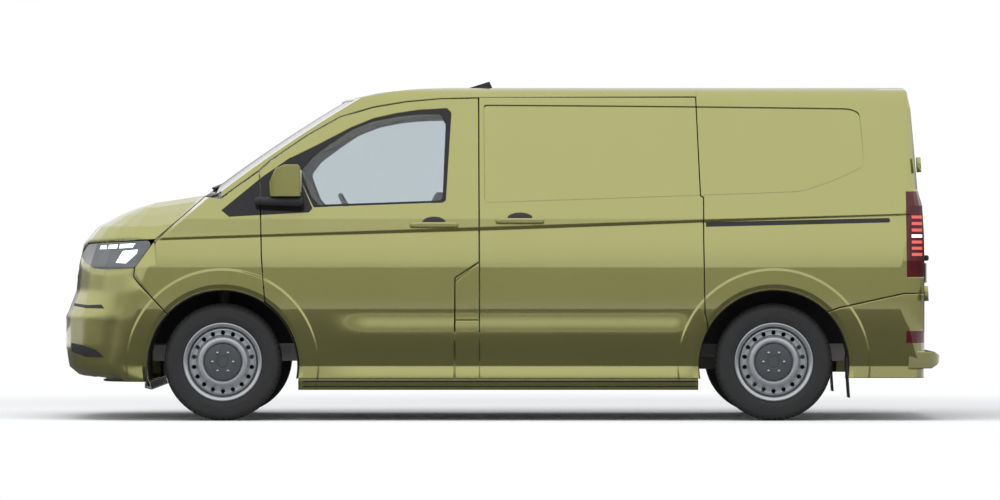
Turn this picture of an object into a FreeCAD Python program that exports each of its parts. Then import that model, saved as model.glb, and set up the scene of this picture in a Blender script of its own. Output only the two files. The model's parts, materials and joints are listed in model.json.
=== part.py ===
import FreeCAD, Part
import math
import os

# Panel van with a short bonnet, standing on its wheels.
# Frame: origin on the ground under the middle of the van, +X to the rear, +Y to the right, +Z up.
# Millimetres throughout. The left side of the van is at -Y.

V = FreeCAD.Vector
doc = FreeCAD.newDocument("panel_van")
sheet = doc.addObject("Spreadsheet::Sheet", "sizes")

# Driving sizes and the sizes of the pieces, each an alias in the sheet and its value.
SIZES = (
    # the whole van
    ("wheelbase", 3100),
    ("front_overhang", 936),
    ("rear_overhang", 880),
    ("roof_height", 1892),
    ("half_width", 1016),
    ("mid_offset", 5),
    # body surfaces
    ("shoulder_height", 1099),
    ("step_drop", 25),
    ("sill_bottom", 173),
    ("door_bottom", 234),
    ("crown_rise", 23),
    ("nose_plan_radius", 5500),
    ("nose_corner_depth", 523),
    ("nose_corner_width", 503),
    ("windscreen_plan_radius", 4200),
    ("tail_plan_radius", 14000),
    ("tail_corner_depth", 170),
    ("tail_corner_width", 840),
    ("corner_core", 20),
    ("arch_radius", 425),
    ("arch_height", 312),
    # walls and gaps
    ("wall", 46),
    ("skin", 22),
    ("trim", 4),
    ("glass", 5),
    ("glass_set_back", 5),
    ("panel_gap", 6),
    ("seat_gap", 0.3),
    ("run_gap", 6),
    ("overrun", 400),
    # wheels
    ("hub_height", 330),
    ("tyre_width", 215),
    ("rim_diameter", 442),
    ("track", 1730),
    ("liner", 5),
    ("front_well", 568),
    ("rear_well", 700),
    # cab and load space
    ("floor_height", 500),
    ("floor_sheet", 12),
    ("floor_cover", 4),
    ("cover_margin", 40),
    ("cab_floor_height", 430),
    ("bulkhead_sheet", 14),
    ("bulkhead_place", 20),
    ("seat_width", 480),
    ("seat_length", 500),
    ("seat_height", 760),
    ("cushion", 130),
    ("backrest_height", 560),
    ("seat_place", 500),
    ("driver_place", 420),
    ("dash_depth", 500),
    ("wheel_ring", 372),
    ("ring_thickness", 30),
    ("column", 50),
    ("column_tilt", 28),
    ("mirror_depth", 184),
    ("mirror_reach", 125),
    ("mirror_height", 175),
    # under the body
    ("engine_length", 560),
    ("engine_width", 820),
    ("engine_height", 620),
    ("engine_bottom", 260),
    ("engine_place", 110),
    ("rail_width", 70),
    ("rail_height", 90),
    ("rail_apart", 760),
    ("tank_length", 700),
    ("tank_width", 480),
    ("tank_height", 150),
    ("pipe", 55),
    ("axle_tube", 90),
    ("disc", 296),
    ("disc_thickness", 26),
    ("hub", 140),
    ("hub_bolts", 114.3),
    ("bolt", 12),
    ("kingpin", 800),
    ("spring", 120),
    ("strut", 76),
    ("strut_place", 112),
    ("antenna_height", 42),
)

for row, (alias, value) in enumerate(SIZES, start=1):
    sheet.set("A%d" % row, alias)
    sheet.set("B%d" % row, str(value))
    sheet.setAlias("B%d" % row, alias)
doc.recompute()


class Sheet:
    """Reads a driving size by its name."""

    def __getattr__(self, alias):
        return float(sheet.get(alias))


S = Sheet()

# Places along the van are shares of the front overhang, the wheelbase or the rear overhang.
FRONT_AXLE = -S.wheelbase / 2 - S.mid_offset
REAR_AXLE = FRONT_AXLE + S.wheelbase


def nose_x(share):
    """A place ahead of the front axle, as a share of the front overhang."""
    return FRONT_AXLE - share * S.front_overhang


def cab_x(share):
    """A place behind the front axle, as a share of the wheelbase."""
    return FRONT_AXLE + share * S.wheelbase


def tail_x(share):
    """A place behind the rear axle, as a share of the rear overhang."""
    return REAR_AXLE + share * S.rear_overhang


def up(share):
    """A height, as a share of the roof height."""
    return share * S.roof_height


def out(share):
    """A distance from the middle plane, as a share of the half width."""
    return share * S.half_width


def points_of(shares, along):
    """Outline points from shares along the van and up it."""
    return [(along(a), up(b)) for a, b in shares]


def rounded_wire(points, radii, place):
    """A closed outline of straight runs whose corners are arcs of the given radii."""
    edges = []
    count = len(points)
    starts = []
    ends = []
    mids = []
    for i, point in enumerate(points):
        here = FreeCAD.Vector(point[0], point[1], 0)
        back = FreeCAD.Vector(*points[i - 1], 0) - here
        ahead = FreeCAD.Vector(*points[(i + 1) % count], 0) - here
        radius = radii[i] if isinstance(radii, (list, tuple)) else radii
        angle = back.getAngle(ahead)
        reach = radius / math.tan(angle / 2) if radius else 0
        a = here + back.normalize() * reach
        b = here + ahead.normalize() * reach
        starts.append(a)
        ends.append(b)
        if radius:
            inward = (back + ahead).normalize()
            centre = here + inward * (radius / math.sin(angle / 2))
            mids.append(centre - inward * radius)
        else:
            mids.append(None)
    for i in range(count):
        if mids[i] is not None:
            arc = Part.Arc(place(starts[i]), place(mids[i]), place(ends[i]))
            edges.append(arc.toShape())
        a = ends[i]
        b = starts[(i + 1) % count]
        if (b - a).Length > S.panel_gap / 1000:
            edges.append(Part.makeLine(place(a), place(b)))
    return Part.Wire(edges)


def side_face(points, radii=0, y=0):
    """A face in a plane along the van, from (x, z) points."""
    return Part.Face(rounded_wire(points, radii, lambda p: V(p.x, y, p.y)))


def side_prism(points, y_from, y_to, radii=0):
    """An (x, z) outline carried across the van."""
    return side_face(points, radii, y_from).extrude(V(0, y_to - y_from, 0))


def plan_prism(points, z_from, z_to, radii=0):
    """An (x, y) outline carried upwards."""
    wire = rounded_wire(points, radii, lambda p: V(p.x, p.y, z_from))
    return Part.Face(wire).extrude(V(0, 0, z_to - z_from))


def box(x0, x1, y0, y1, z0, z1):
    """A block between two corners."""
    return Part.makeBox(x1 - x0, y1 - y0, z1 - z0, V(x0, y0, z0))


def mirrored(shape):
    """The same shape on the other side of the van."""
    return shape.mirror(V(0, 0, 0), V(0, 1, 0))


def both_sides(shape):
    """A pair of shapes, one on each side."""
    return Part.makeCompound([shape, mirrored(shape)])


# Body surfaces

SHOULDER_RISE_SHARE = 0.0383
SIDE_LEAN_SHARE = 0.1827
BARREL_SHARES = ((0.9478, 0.1628), (1.0, 0.3805), (0.9744, 0.5645))
BARREL_TOP_SHARE = 0.70
SILL_SHARES = (0.935, 0.9528)
SHOULDER_OUT_SHARE = 0.9872
CROWN_START_SHARE = 0.779


def circle_through(a, b, c):
    """Centre and radius of the circle through three (y, z) points."""
    circle = Part.Arc(V(a[0], a[1], 0), V(b[0], b[1], 0), V(c[0], c[1], 0)).toShape().Curve
    return circle.Center, circle.Radius


def lower_section():
    """Half outline below the shoulder: sill, rocker crease and barrel side."""
    a, b, c = [(out(y), up(z)) for y, z in BARREL_SHARES]
    centre, radius = circle_through(a, b, c)
    top = up(BARREL_TOP_SHARE)
    top_y = centre.x + math.sqrt(radius ** 2 - (top - centre.y) ** 2)
    sill = [(0, S.sill_bottom), (out(SILL_SHARES[0]), S.sill_bottom)]
    sill.append((out(SILL_SHARES[1]), S.door_bottom))
    return sill, a, b, (top_y, top)


def side_y(z):
    """Half width of the leaning upper side at a height."""
    return out(SHOULDER_OUT_SHARE) - SIDE_LEAN_SHARE * (z - S.shoulder_height)


def crown_and_corner():
    """Half outline of the roof: the crown's edge and the corner's three points."""
    start = out(CROWN_START_SHARE)
    rise = S.crown_rise
    top = S.roof_height
    radius = (start ** 2 + rise ** 2) / (2 * rise)
    slope = start / (radius - rise)
    # the crown's end tangent meets the leaning side at the corner point
    z = top - rise
    y = (side_y(z) - start * SIDE_LEAN_SHARE * slope) / (1 - SIDE_LEAN_SHARE * slope)
    corner = V(y, z - slope * (y - start), 0)
    inward = V(-1, slope, 0).normalize()
    down = V(SIDE_LEAN_SHARE, -1, 0).normalize()
    reach = corner.distanceToPoint(V(start, z, 0))
    middle = (inward + down).normalize()
    angle = inward.getAngle(down)
    arc_radius = reach * math.tan(angle / 2)
    centre = corner + middle * (arc_radius / math.sin(angle / 2))
    return (start, z), centre - middle * arc_radius, corner + down * reach


def section_wire(half, x):
    """A closed section from the edges of its right half, drawn as point lists."""
    edges = []
    for kind, pts in half:
        for sign in (1, -1):
            p = [V(x, sign * q[0], q[1]) for q in pts]
            if kind == "line":
                edges.append(Part.makeLine(p[0], p[1]))
            else:
                edges.append(Part.Arc(p[0], p[1], p[2]).toShape())
    return edges


def closed(edges):
    """A closed wire from loose edges."""
    return Part.Wire(Part.__sortEdges__(edges))


def body_tube(inset):
    """The body's constant section with its leaning sides and stepped shoulder, from nose to tail."""
    x0 = nose_x(1) - S.overrun
    x1 = tail_x(1) + S.overrun
    sill, a, b, top = lower_section()
    half = [("line", (sill[1], sill[2])), ("line", (sill[2], a)), ("arc", (a, b, top))]
    edges = section_wire(half, x0)
    edges.append(Part.makeLine(V(x0, -sill[1][0], sill[1][1]), V(x0, sill[1][0], sill[1][1])))
    edges.append(Part.makeLine(V(x0, -top[0], top[1]), V(x0, top[0], top[1])))
    lower = closed(edges)
    crown, middle, side = crown_and_corner()
    low = (side_y(S.door_bottom), S.door_bottom)
    half = [("line", (low, (side.x, side.y)))]
    half.append(("arc", ((side.x, side.y), (middle.x, middle.y), crown)))
    edges = section_wire(half, x0)
    edges.append(Part.makeLine(V(x0, -low[0], low[1]), V(x0, low[0], low[1])))
    arc = Part.Arc(V(x0, -crown[0], crown[1]), V(x0, 0, S.roof_height), V(x0, crown[0], crown[1]))
    edges.append(arc.toShape())
    upper = closed(edges)
    if inset:
        lower = lower.makeOffset2D(-inset)
        upper = upper.makeOffset2D(-inset)
    along = V(x1 - x0, 0, 0)
    lower = Part.Face(lower).extrude(along)
    upper = Part.Face(upper).extrude(along)
    # the shoulder's step follows a line that rises to the rear
    z0 = S.shoulder_height + SHOULDER_RISE_SHARE * x0
    drop = S.step_drop
    far = S.half_width + S.overrun
    edge = side_y(S.shoulder_height)
    under = edge - drop / 2
    top = S.roof_height + S.overrun
    outline = [(-far, z0), (-edge, z0), (-under, z0 - drop), (under, z0 - drop), (edge, z0), (far, z0)]
    outline += [(far, top), (-far, top)]
    wire = Part.makePolygon([V(x0, y, z) for y, z in outline + outline[:1]])
    above = Part.Face(wire).extrude(V(x1 - x0, 0, SHOULDER_RISE_SHARE * (x1 - x0)))
    return lower.fuse(upper.common(above)).removeSplitter()


def straight_edges(points):
    """Straight edges through points."""
    return [Part.makeLine(a, b) for a, b in zip(points, points[1:])]


def end_cap(centre, flank, steps, core, plan_radius, corner_y, sign, way):
    """A rounded end of the body, from its profile at the middle plane and its profile on the flank.

    Both are lists of (depth, z) with depth measured outwards from the line of the corner axes.
    The sign is 1 for the nose, whose shallow plan arc is centred to the rear, and -1 for the tail.
    """
    x_axis, depth_core = core
    angle = math.asin(corner_y / plan_radius)
    x_far = x_axis + sign * plan_radius * math.cos(angle)
    shift = plan_radius * (1 - math.cos(angle))
    up_axis = V(0, 0, 1)
    far = V(x_far, 0, 0)
    low, top = centre[0][1], centre[-1][1]
    # the middle, turned about the far axis
    points = [V(x_axis - sign * (depth + shift), 0, z) for depth, z in centre]
    deep = x_axis + sign * depth_core
    wire = straight_edges(points)
    wire += [Part.makeLine(points[-1], V(deep, 0, top)), Part.makeLine(V(deep, 0, top), V(deep, 0, low))]
    wire.append(Part.makeLine(V(deep, 0, low), points[0]))
    middle = Part.Face(Part.Wire(wire))
    turn = math.degrees(angle)
    middle.rotate(far, up_axis, -turn)
    pieces = [middle.revolve(far, up_axis, 2 * turn)]
    # the corners, lofted from the middle's profile to the flank's
    for side in (1, -1):
        sections = []
        for k in range(steps):
            phi = angle + (math.pi / 2 - angle) * k / (steps - 1)
            mix = math.sin(math.pi / 2 * k / (steps - 1)) ** 2
            points = []
            for (a, z), (b, _) in zip(centre, flank):
                depth = a + (b - a) * mix
                x = x_axis - sign * depth * math.cos(phi)
                points.append(V(x, side * (corner_y + depth * math.sin(phi)), z))
            edges = straight_edges(points)
            x = x_axis - sign * depth_core / 10 * math.cos(phi)
            y = side * (corner_y + depth_core / 10 * math.sin(phi))
            edges.append(Part.makeLine(points[-1], V(x, y, top)))
            edges.append(Part.makeLine(V(x, y, top), V(x, y, low)))
            edges.append(Part.makeLine(V(x, y, low), points[0]))
            sections.append(Part.Wire(edges))
        pieces.append(Part.makeLoft(sections, True, True))
        pieces.append(Part.Face(sections[-1]).extrude(way))
    # what the corners leave open round their axes
    reach = corner_y + depth_core / 5
    corners = [(-reach, low), (reach, low), (reach, top), (-reach, top)]
    wire = Part.makePolygon([V(x_axis, y, z) for y, z in corners + corners[:1]])
    pieces.append(Part.Face(wire).extrude(way))
    for side in (1, -1):
        pieces.append(Part.makeCylinder(depth_core / 5, top - low, V(x_axis, side * corner_y, low)))
    return pieces


# The nose's profile at the middle plane, as shares of the front overhang and the roof height,
# from the bumper's underside up to the bonnet, and its depth on the flank as shares of the corner depth.
NOSE_SHARES = ((0.7479, 0.1131), (0.9177, 0.1342), (0.9754, 0.158), (0.9968, 0.2178), (0.9968, 0.3066),
               (0.9808, 0.3219), (0.9327, 0.3842), (0.9177, 0.4577), (0.8857, 0.5264), (0.8002, 0.5772),
               (0.6624, 0.6126), (0.5513, 0.6353), (0.4530, 0.6500))
NOSE_FLANK_SHARES = (0.906, 0.945, 0.96, 0.973, 1.0, 1.002, 1.004, 0.985, 0.822, 0.65, 0.4, 0.22, 0.027)
NOSE_AXIS_SHARE = 0.4180
BONNET_RISE_SHARE = 0.153
# The cab's profile at the middle plane: flank front, cowl, windscreen, header and roof.
WEDGE_SHARES = ((0.5182, 0.0), (0.5182, 0.5300), (0.1923, 0.6681), (0.1442, 0.6750))
SCREEN_SHARES = ((-0.0435, 0.6750), (0.0890, 0.8309), (0.2139, 0.9604))
HEADER_SHARES = ((0.2139, 0.9604), (0.2671, 0.9794), (0.3210, 0.9889), (0.3919, 0.9963), (0.4823, 1.0003))
TAIL_SHARES = ((1.0, 0.08), (1.0, 0.4757), (0.9966, 0.5576), (0.9852, 0.6395), (0.9545, 0.6871),
               (0.9352, 0.7955), (0.9091, 0.9302), (0.8860, 0.9778), (0.8520, 1.0010))
TAIL_FLANK_SHARES = (1.0, 1.02, 0.95, 0.89, 0.80, 0.58, 0.32, 0.21, 0.15)


CORNER_STEPS = 6


def cap_pieces(shares, along, flank_shares, x_axis, sign, depth, width, plan_radius, way):
    """The pieces of the nose or the tail from its tables of shares."""
    bulge = plan_radius * (1 - math.cos(math.asin(width / plan_radius)))
    centre = [(sign * (x_axis - along(a)) - bulge, up(b)) for a, b in shares]
    flank = [(share * depth, z) for share, (_, z) in zip(flank_shares, centre)]
    return end_cap(centre, flank, CORNER_STEPS, (x_axis, S.corner_core), plan_radius, width, sign, way)


def screen_axis():
    """The vertical axis that the windscreen and the cab's front are turned about."""
    return cab_x(SCREEN_SHARES[0][0]) + S.windscreen_plan_radius


def nose_form():
    """Bumper, lamp band and bonnet in one form."""
    way = V(S.wheelbase / 2, 0, BONNET_RISE_SHARE * S.wheelbase / 2)
    pieces = cap_pieces(NOSE_SHARES, nose_x, NOSE_FLANK_SHARES, nose_x(NOSE_AXIS_SHARE), 1,
                        S.nose_corner_depth, S.nose_corner_width, S.nose_plan_radius, way)
    low = up(NOSE_SHARES[0][1]) + S.trim
    above = box(nose_x(1) - S.overrun, screen_axis(), -S.roof_height, S.roof_height, low, S.roof_height)
    return pieces[0].multiFuse(pieces[1:]).common(above)


def tail_form():
    """The rear doors' face with its rounded corners."""
    x_axis = tail_x(1) - S.tail_corner_depth
    pieces = cap_pieces(TAIL_SHARES, tail_x, TAIL_FLANK_SHARES, x_axis, -1,
                        S.tail_corner_depth, S.tail_corner_width, S.tail_plan_radius, V(-2 * S.wheelbase, 0, 0))
    return pieces[0].multiFuse(pieces[1:])


def cabin_form():
    """Fender tops, windscreen and roof, turned about the windscreen's far axis."""
    wedge = points_of(WEDGE_SHARES, nose_x)
    screen = points_of(SCREEN_SHARES, cab_x)
    header = points_of(HEADER_SHARES, cab_x)
    axis = screen_axis()
    start = screen[0]
    runs = wedge[:3] + [start]
    edges = [Part.makeLine(V(a[0], 0, a[1]), V(b[0], 0, b[1])) for a, b in zip(runs, runs[1:])]
    arc = [V(x, 0, z) for x, z in screen]
    edges.append(Part.Arc(*arc).toShape())
    roof = header + [(axis, header[-1][1]), (axis, 0), runs[0]]
    edges += [Part.makeLine(V(a[0], 0, a[1]), V(b[0], 0, b[1])) for a, b in zip(roof, roof[1:])]
    face = Part.Face(Part.Wire(edges))
    return face.revolve(V(axis, 0, 0), V(0, 0, 1), 360)


NOSE = nose_form()
CABIN = cabin_form()
TAIL = tail_form()


def moved(shape, x, z):
    """A copy moved along the van and up."""
    copy = shape.copy()
    copy.translate(V(x, 0, z))
    return copy


def body_form(inset):
    """The van's whole outer form, or the same form drawn in by a wall."""
    front = moved(NOSE, inset, -inset / 2).fuse(moved(CABIN, inset, -inset / 2))
    return body_tube(inset).common(front).common(moved(TAIL, -inset, 0))


def between(outer, inner):
    """The wall between two insets of the body."""
    return FORMS[outer].cut(FORMS[inner])


FORMS = {}
for name, inset in (("outside", 0), ("skin", S.skin), ("wall", S.wall), ("frame", S.wall + S.run_gap),
                    ("frame_inside", 2 * S.wall + S.run_gap), ("glass_out", S.glass_set_back),
                    ("glass_in", S.glass_set_back + S.glass), ("trim", S.trim), ("under", S.skin + S.seat_gap),
                    ("seal", S.wall + S.seat_gap)):
    FORMS[name] = body_form(inset)

WALL = between("outside", "wall")
SKIN = between("outside", "skin")
GLASS = between("glass_out", "glass_in")
FRAME = between("frame", "frame_inside")
SEAL = between("seal", "frame_inside")
UNDER = between("under", "frame")
POST = between("under", "frame_inside")
RAIL = between("outside", "frame_inside")

FAR = S.half_width + S.overrun
AHEAD, BEHIND, ABOVE = nose_x(1.2), tail_x(1.3), up(1.1)
HALF_GAP = S.panel_gap / 2
LEFT = (-FAR, -out(0.4))
RIGHT = (out(0.4), FAR)
ACROSS = (-FAR, FAR)


def drawn_in(points, gap, radii=0):
    """An (x, z) outline with rounded corners, drawn in by a gap."""
    wire = rounded_wire(points, radii, lambda p: V(p.x, 0, p.y))
    return wire.makeOffset2D(-gap) if gap else wire


def across(points, sides=ACROSS, gap=None, radii=0):
    """An (x, z) outline drawn in by the gap and carried across the van between two widths."""
    wire = drawn_in(points, HALF_GAP if gap is None else gap, radii)
    face = Part.Face(wire)
    face.translate(V(0, sides[0], 0))
    return face.extrude(V(0, sides[1] - sides[0], 0))


def arch(axle, radius):
    """A round bar across the van in the wheel arches of an axle."""
    return Part.makeCylinder(radius, 2 * FAR, V(axle, -FAR, S.arch_height), V(0, 1, 0))


SLIVER_SHARE = 0.001


def only(shape):
    """The shape as a compound of its solids, without slivers left at tangent faces."""
    least = SLIVER_SHARE * shape.Volume
    return Part.makeCompound([solid for solid in shape.Solids if solid.Volume > least])


NODES = []


def node(name, shape):
    """A sub-part whose shape was made from the body's surfaces."""
    item = doc.addObject("Part::Feature", name)
    item.Shape = only(shape)
    item.Label = name
    item.Placement = FreeCAD.Placement()
    NODES.append(item)
    return item


# Seams of the side, as shares of the wheelbase behind the front axle and of the roof height
DOOR_TOP = points_of(((0.0671, 0.7440), (0.0872, 0.7735), (0.1521, 0.8462), (0.2126, 0.9027), (0.2734, 0.9323),
                      (0.3341, 0.949), (0.3948, 0.9577), (0.4640, 0.9604)), cab_x)
DOOR_FRONT = points_of(((0.0771, 0.3552), (0.071, 0.4815)), cab_x)
LEFT_JOG = points_of(((0.4655, 0.4715), (0.4216, 0.4242)), cab_x)
LEFT_JOG += [(cab_x(0.4198), S.door_bottom)]
RIGHT_EDGE = points_of(((0.4655, 0.4715),), cab_x) + [(cab_x(0.4655), S.door_bottom)]
SLIDE_FRONT = points_of(((0.4646, 0.963), (0.4661, 0.4715)), cab_x) + [(cab_x(0.4661), S.door_bottom)]
SLIDE_REAR = points_of(((0.88, 0.2844), (0.8748, 0.3155), (0.8723, 0.537), (0.8723, 0.6628), (0.8668, 0.6683),
                        (0.859, 0.963)), cab_x)
LAMP = points_of(((0.8800, 0.4910), (0.8226, 0.5254), (0.4103, 0.5367), (0.5272, 0.4551), (0.6912, 0.4498),
                  (0.781, 0.453), (0.8387, 0.4699)), nose_x)
BUMPER_SEAM = points_of(((0.5267, 0.4556), (0.5315, 0.4276), (0.5053, 0.4099), (0.2800, 0.2900)), nose_x)
PILLAR_FOOT = points_of(((0.0100, 0.6607),), nose_x)[0]
HOOD_REAR_SHARE = 0.1122
REAR_SEAM_SHARES = ((0.2600, 0.3100), (0.4143, 0.3354), (0.8296, 0.3779), (1.2, 0.3779))
REAR_DOOR_SHARES = (0.862, 0.79, 0.2130, 0.9450)
TAIL_LAMP_SHARES = ((0.8427, 0.6797), (1.1, 0.6813), (1.1, 0.4268), (0.8477, 0.4268))
WINDOW = points_of(((0.1226, 0.7800), (0.1723, 0.8200), (0.2329, 0.8720), (0.2734, 0.8990), (0.3139, 0.9140),
                    (0.3544, 0.9240), (0.407, 0.9290), (0.4149, 0.9150), (0.405, 0.6540), (0.3988, 0.6480),
                    (0.165, 0.6340)), cab_x)
CORNER_RADIUS_SHARE = 0.012


def front_door(rear_edge, sides):
    """One cab door: the wall within its seams, clear of the wheel arch, with its window cut."""
    outline = [(cab_x(0.0771), S.door_bottom)] + DOOR_FRONT + DOOR_TOP + rear_edge
    panel = WALL.common(across(outline, sides)).cut(arch(FRONT_AXLE, S.arch_radius + S.panel_gap))
    return panel.cut(across(WINDOW, sides, 0, [up(CORNER_RADIUS_SHARE) / 2] * len(WINDOW)))


def side_glass(sides):
    """The glass that fills a cab door's window."""
    return GLASS.common(across(WINDOW, sides, S.seat_gap, [up(CORNER_RADIUS_SHARE) / 2] * len(WINDOW)))


def sliding_door(sides):
    """One sliding door: the wall within its seams, following the rear arch."""
    outline = SLIDE_FRONT + [(cab_x(0.88), S.door_bottom)] + SLIDE_REAR
    return WALL.common(across(outline, sides)).cut(arch(REAR_AXLE, S.arch_radius))


ROOF_SIDE_SHARE = 0.765
ROOF_REAR_SHARE = 0.845
SCREEN_SIDE_SHARES = (0.885, 0.765)
COWL_SIDE_SHARE = 0.885


def within(x_front, gap=0):
    """A tall round bar about the windscreen's axis, whose surface is a line across the cab in plan."""
    return Part.makeCylinder(screen_axis() - x_front - gap, up(0.6), V(screen_axis(), 0, up(0.6)))


def tapered(x_front, y_front, x_rear, y_rear, gap=0):
    """A tall solid in plan, straight at both ends and narrowing to the rear."""
    corners = [(x_front, -y_front + gap), (x_rear, -y_rear + gap), (x_rear, y_rear - gap), (x_front, y_front - gap)]
    return plan_prism(corners, up(0.6), up(1.2))


SCREEN_TOP = cab_x(0.2090)
SCREEN_BASE = cab_x(-0.0390)
COWL_FRONT = nose_x(0.1720)
ROOF_FRONT = SCREEN_TOP + S.panel_gap
ROOF_REAR = tail_x(ROOF_REAR_SHARE)
SCREEN_FOOT, SCREEN_HEAD = [out(share) for share in SCREEN_SIDE_SHARES]


def screen_region(gap=0):
    """The windscreen's opening."""
    band = within(SCREEN_BASE, gap).cut(within(SCREEN_TOP, -gap))
    return band.common(tapered(SCREEN_BASE, SCREEN_FOOT, SCREEN_TOP + S.overrun / 2, SCREEN_HEAD, gap))


def roof_region(gap=0):
    """The roof panel between the rails, from the windscreen to over the rear doors."""
    y = out(ROOF_SIDE_SHARE) - gap
    return within(ROOF_FRONT, gap).common(box(SCREEN_BASE, ROOF_REAR - gap, -y, y, up(0.6), up(1.2)))


STRIP_STEPS = 8


def cab_strip(x_front, x_rear, half):
    """A tall band across the cab whose ends follow the windscreen in plan, in short straight runs."""
    lines = []
    for x in (x_front, x_rear):
        radius = screen_axis() - x
        steps = [half * (2 * i / STRIP_STEPS - 1) for i in range(STRIP_STEPS + 1)]
        lines.append([(screen_axis() - math.sqrt(radius ** 2 - y ** 2), y) for y in steps])
    return plan_prism(lines[0] + lines[1][::-1], up(0.6), up(0.8))


def cowl_region(gap=0):
    """The strip between the bonnet and the windscreen."""
    return cab_strip(COWL_FRONT + gap, SCREEN_BASE - HALF_GAP, out(COWL_SIDE_SHARE) - gap)


def above_doors(gap):
    """The region of the pillars and roof rails, over the cab doors and the sliding doors."""
    top = ABOVE
    x, z = SLIDE_REAR[-1]
    line = [PILLAR_FOOT] + DOOR_TOP + [(x + S.panel_gap - S.seat_gap, z)]
    return across(line + [(line[-1][0], top), (line[0][0] - S.wall, top)], ACROSS, gap)


def roof_rails():
    """Windscreen pillars running on as the rails over the doors."""
    rails = RAIL.common(above_doors(HALF_GAP))
    return rails.cut(screen_region()).cut(roof_region(-S.seat_gap)).cut(cowl_region(-S.seat_gap))


def roof_panel():
    """The roof skin between the rails."""
    return SKIN.common(roof_region())


node("roof_panel", roof_panel())
node("roof_rails", roof_rails())
node("windscreen", GLASS.common(screen_region(S.seat_gap)))
node("front_door_left", front_door(LEFT_JOG, LEFT))
node("front_door_right", front_door(RIGHT_EDGE, RIGHT))
node("door_glass_left", side_glass(LEFT))
node("door_glass_right", side_glass(RIGHT))
node("sliding_door_left", sliding_door(LEFT))
node("sliding_door_right", sliding_door(RIGHT))


def rear_seam(above):
    """The region over or under the rear bumper's seam."""
    seam = points_of(REAR_SEAM_SHARES, tail_x)
    level = ABOVE if above else 0
    return seam + [(seam[-1][0], level), (seam[0][0], level)]


def rear_opening(gap):
    """The opening of the rear doors, seen from behind."""
    wide, narrow = out(REAR_DOOR_SHARES[0]), out(REAR_DOOR_SHARES[1])
    low, top = up(REAR_DOOR_SHARES[2]), up(REAR_DOOR_SHARES[3])
    corners = [(-wide, low), (wide, low), (narrow, top), (-narrow, top)]
    wire = rounded_wire(corners, [S.wall / 2, S.wall / 2, S.wall, S.wall], lambda p: V(tail_x(0.6), p.x, p.y))
    if gap:
        wire = wire.makeOffset2D(-gap)
    return Part.Face(wire).extrude(V(S.rear_overhang, 0, 0))


def tail_lamp_region(gap):
    return across(points_of(TAIL_LAMP_SHARES, tail_x), ACROSS, gap).cut(rear_opening(-S.panel_gap))


UNDER_SHARES = (0.88, 0.15)


def under_body():
    """The middle of the body's underside, which stays open for the floor and the chassis."""
    half = out(UNDER_SHARES[0])
    return box(AHEAD, BEHIND, -half, half, 0, up(UNDER_SHARES[1]))


def quarter_panels():
    """Rear side walls round the corners to the rear doors, up to the roof panel."""
    x_low, x_top = SLIDE_REAR[0][0], SLIDE_REAR[-1][0]
    outline = [(x_low, 0), (x_low, S.door_bottom)] + SLIDE_REAR
    outline += [(x_top, ABOVE), (BEHIND, ABOVE), (BEHIND, 0)]
    wall = WALL.common(across(outline)).cut(arch(REAR_AXLE, S.arch_radius))
    wall = wall.cut(across(rear_seam(False), ACROSS, -HALF_GAP)).cut(rear_opening(-HALF_GAP))
    wall = wall.cut(roof_region(-S.seat_gap)).cut(tail_lamp_region(-S.seat_gap))
    return wall.cut(under_body())


REAR_WINDOW_SHARES = (0.10, 0.72, 0.6450, 0.8900)


def rear_window(side, gap):
    y0, y1 = out(REAR_WINDOW_SHARES[0]), out(REAR_WINDOW_SHARES[1])
    z0, z1 = up(REAR_WINDOW_SHARES[2]), up(REAR_WINDOW_SHARES[3])
    corners = [(side * y0, z0), (side * y1, z0), (side * y1, z1), (side * y0, z1)]
    if side < 0:
        corners.reverse()
    wire = rounded_wire(corners, S.wall, lambda p: V(tail_x(0.6), p.x, p.y))
    if gap:
        wire = wire.makeOffset2D(-gap)
    return Part.Face(wire).extrude(V(S.rear_overhang, 0, 0))


def rear_door(side):
    """One rear wing door with its window cut."""
    half = box(tail_x(0.6), BEHIND, HALF_GAP, FAR, 0, ABOVE)
    half = half if side > 0 else mirrored(half)
    return WALL.common(rear_opening(HALF_GAP)).common(half).cut(rear_window(side, 0))


STEP_SHARES = (0.155, 0.2050)


def rear_frame():
    """The frame round the rear opening that the doors close against."""
    ring = SEAL.common(rear_opening(-S.wall)).cut(rear_opening(S.wall / 2))
    side = out(REAR_DOOR_SHARES[0])
    low, high = up(STEP_SHARES[1]) + S.seat_gap, S.floor_height - S.floor_sheet - S.seat_gap
    sill = SEAL.common(box(tail_x(0.6), BEHIND, -side, side, low, high))
    return ring.fuse(sill).cut(box(nose_x(1), BEHIND, -FAR, FAR, 0, low))


node("quarter_panels", quarter_panels())
node("rear_frame", rear_frame())
node("tail_lamps", WALL.common(tail_lamp_region(0)))
for name, side in (("left", -1), ("right", 1)):
    node("rear_door_" + name, rear_door(side))
    node("rear_glass_" + name, GLASS.common(rear_window(side, S.seat_gap)))


LAMP_INNER_SHARE = 0.53


def lamp_region(gap):
    """Both headlamps, outboard of the grille."""
    band = across(LAMP, ACROSS, gap, [S.wall / 2] * len(LAMP))
    inner = out(LAMP_INNER_SHARE) - gap
    return band.cut(box(AHEAD, nose_x(0), -inner, inner, 0, up(1)))


def bonnet_outline(gap):
    """The bonnet, over the grille and the lamps and inside the fenders."""
    top = ABOVE
    line = [(nose_x(-0.1), up(0.6746)), (nose_x(HOOD_REAR_SHARE), up(0.6681)), LAMP[2], LAMP[3]]
    line += [(AHEAD, up(0.4577)), (AHEAD, top), (nose_x(-0.1), top)]
    return across(line, ACROSS, gap)


def bonnet():
    lid = SKIN.common(bonnet_outline(HALF_GAP)).cut(under_lamps())
    return lid.cut(within(COWL_FRONT, -S.panel_gap))


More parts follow.
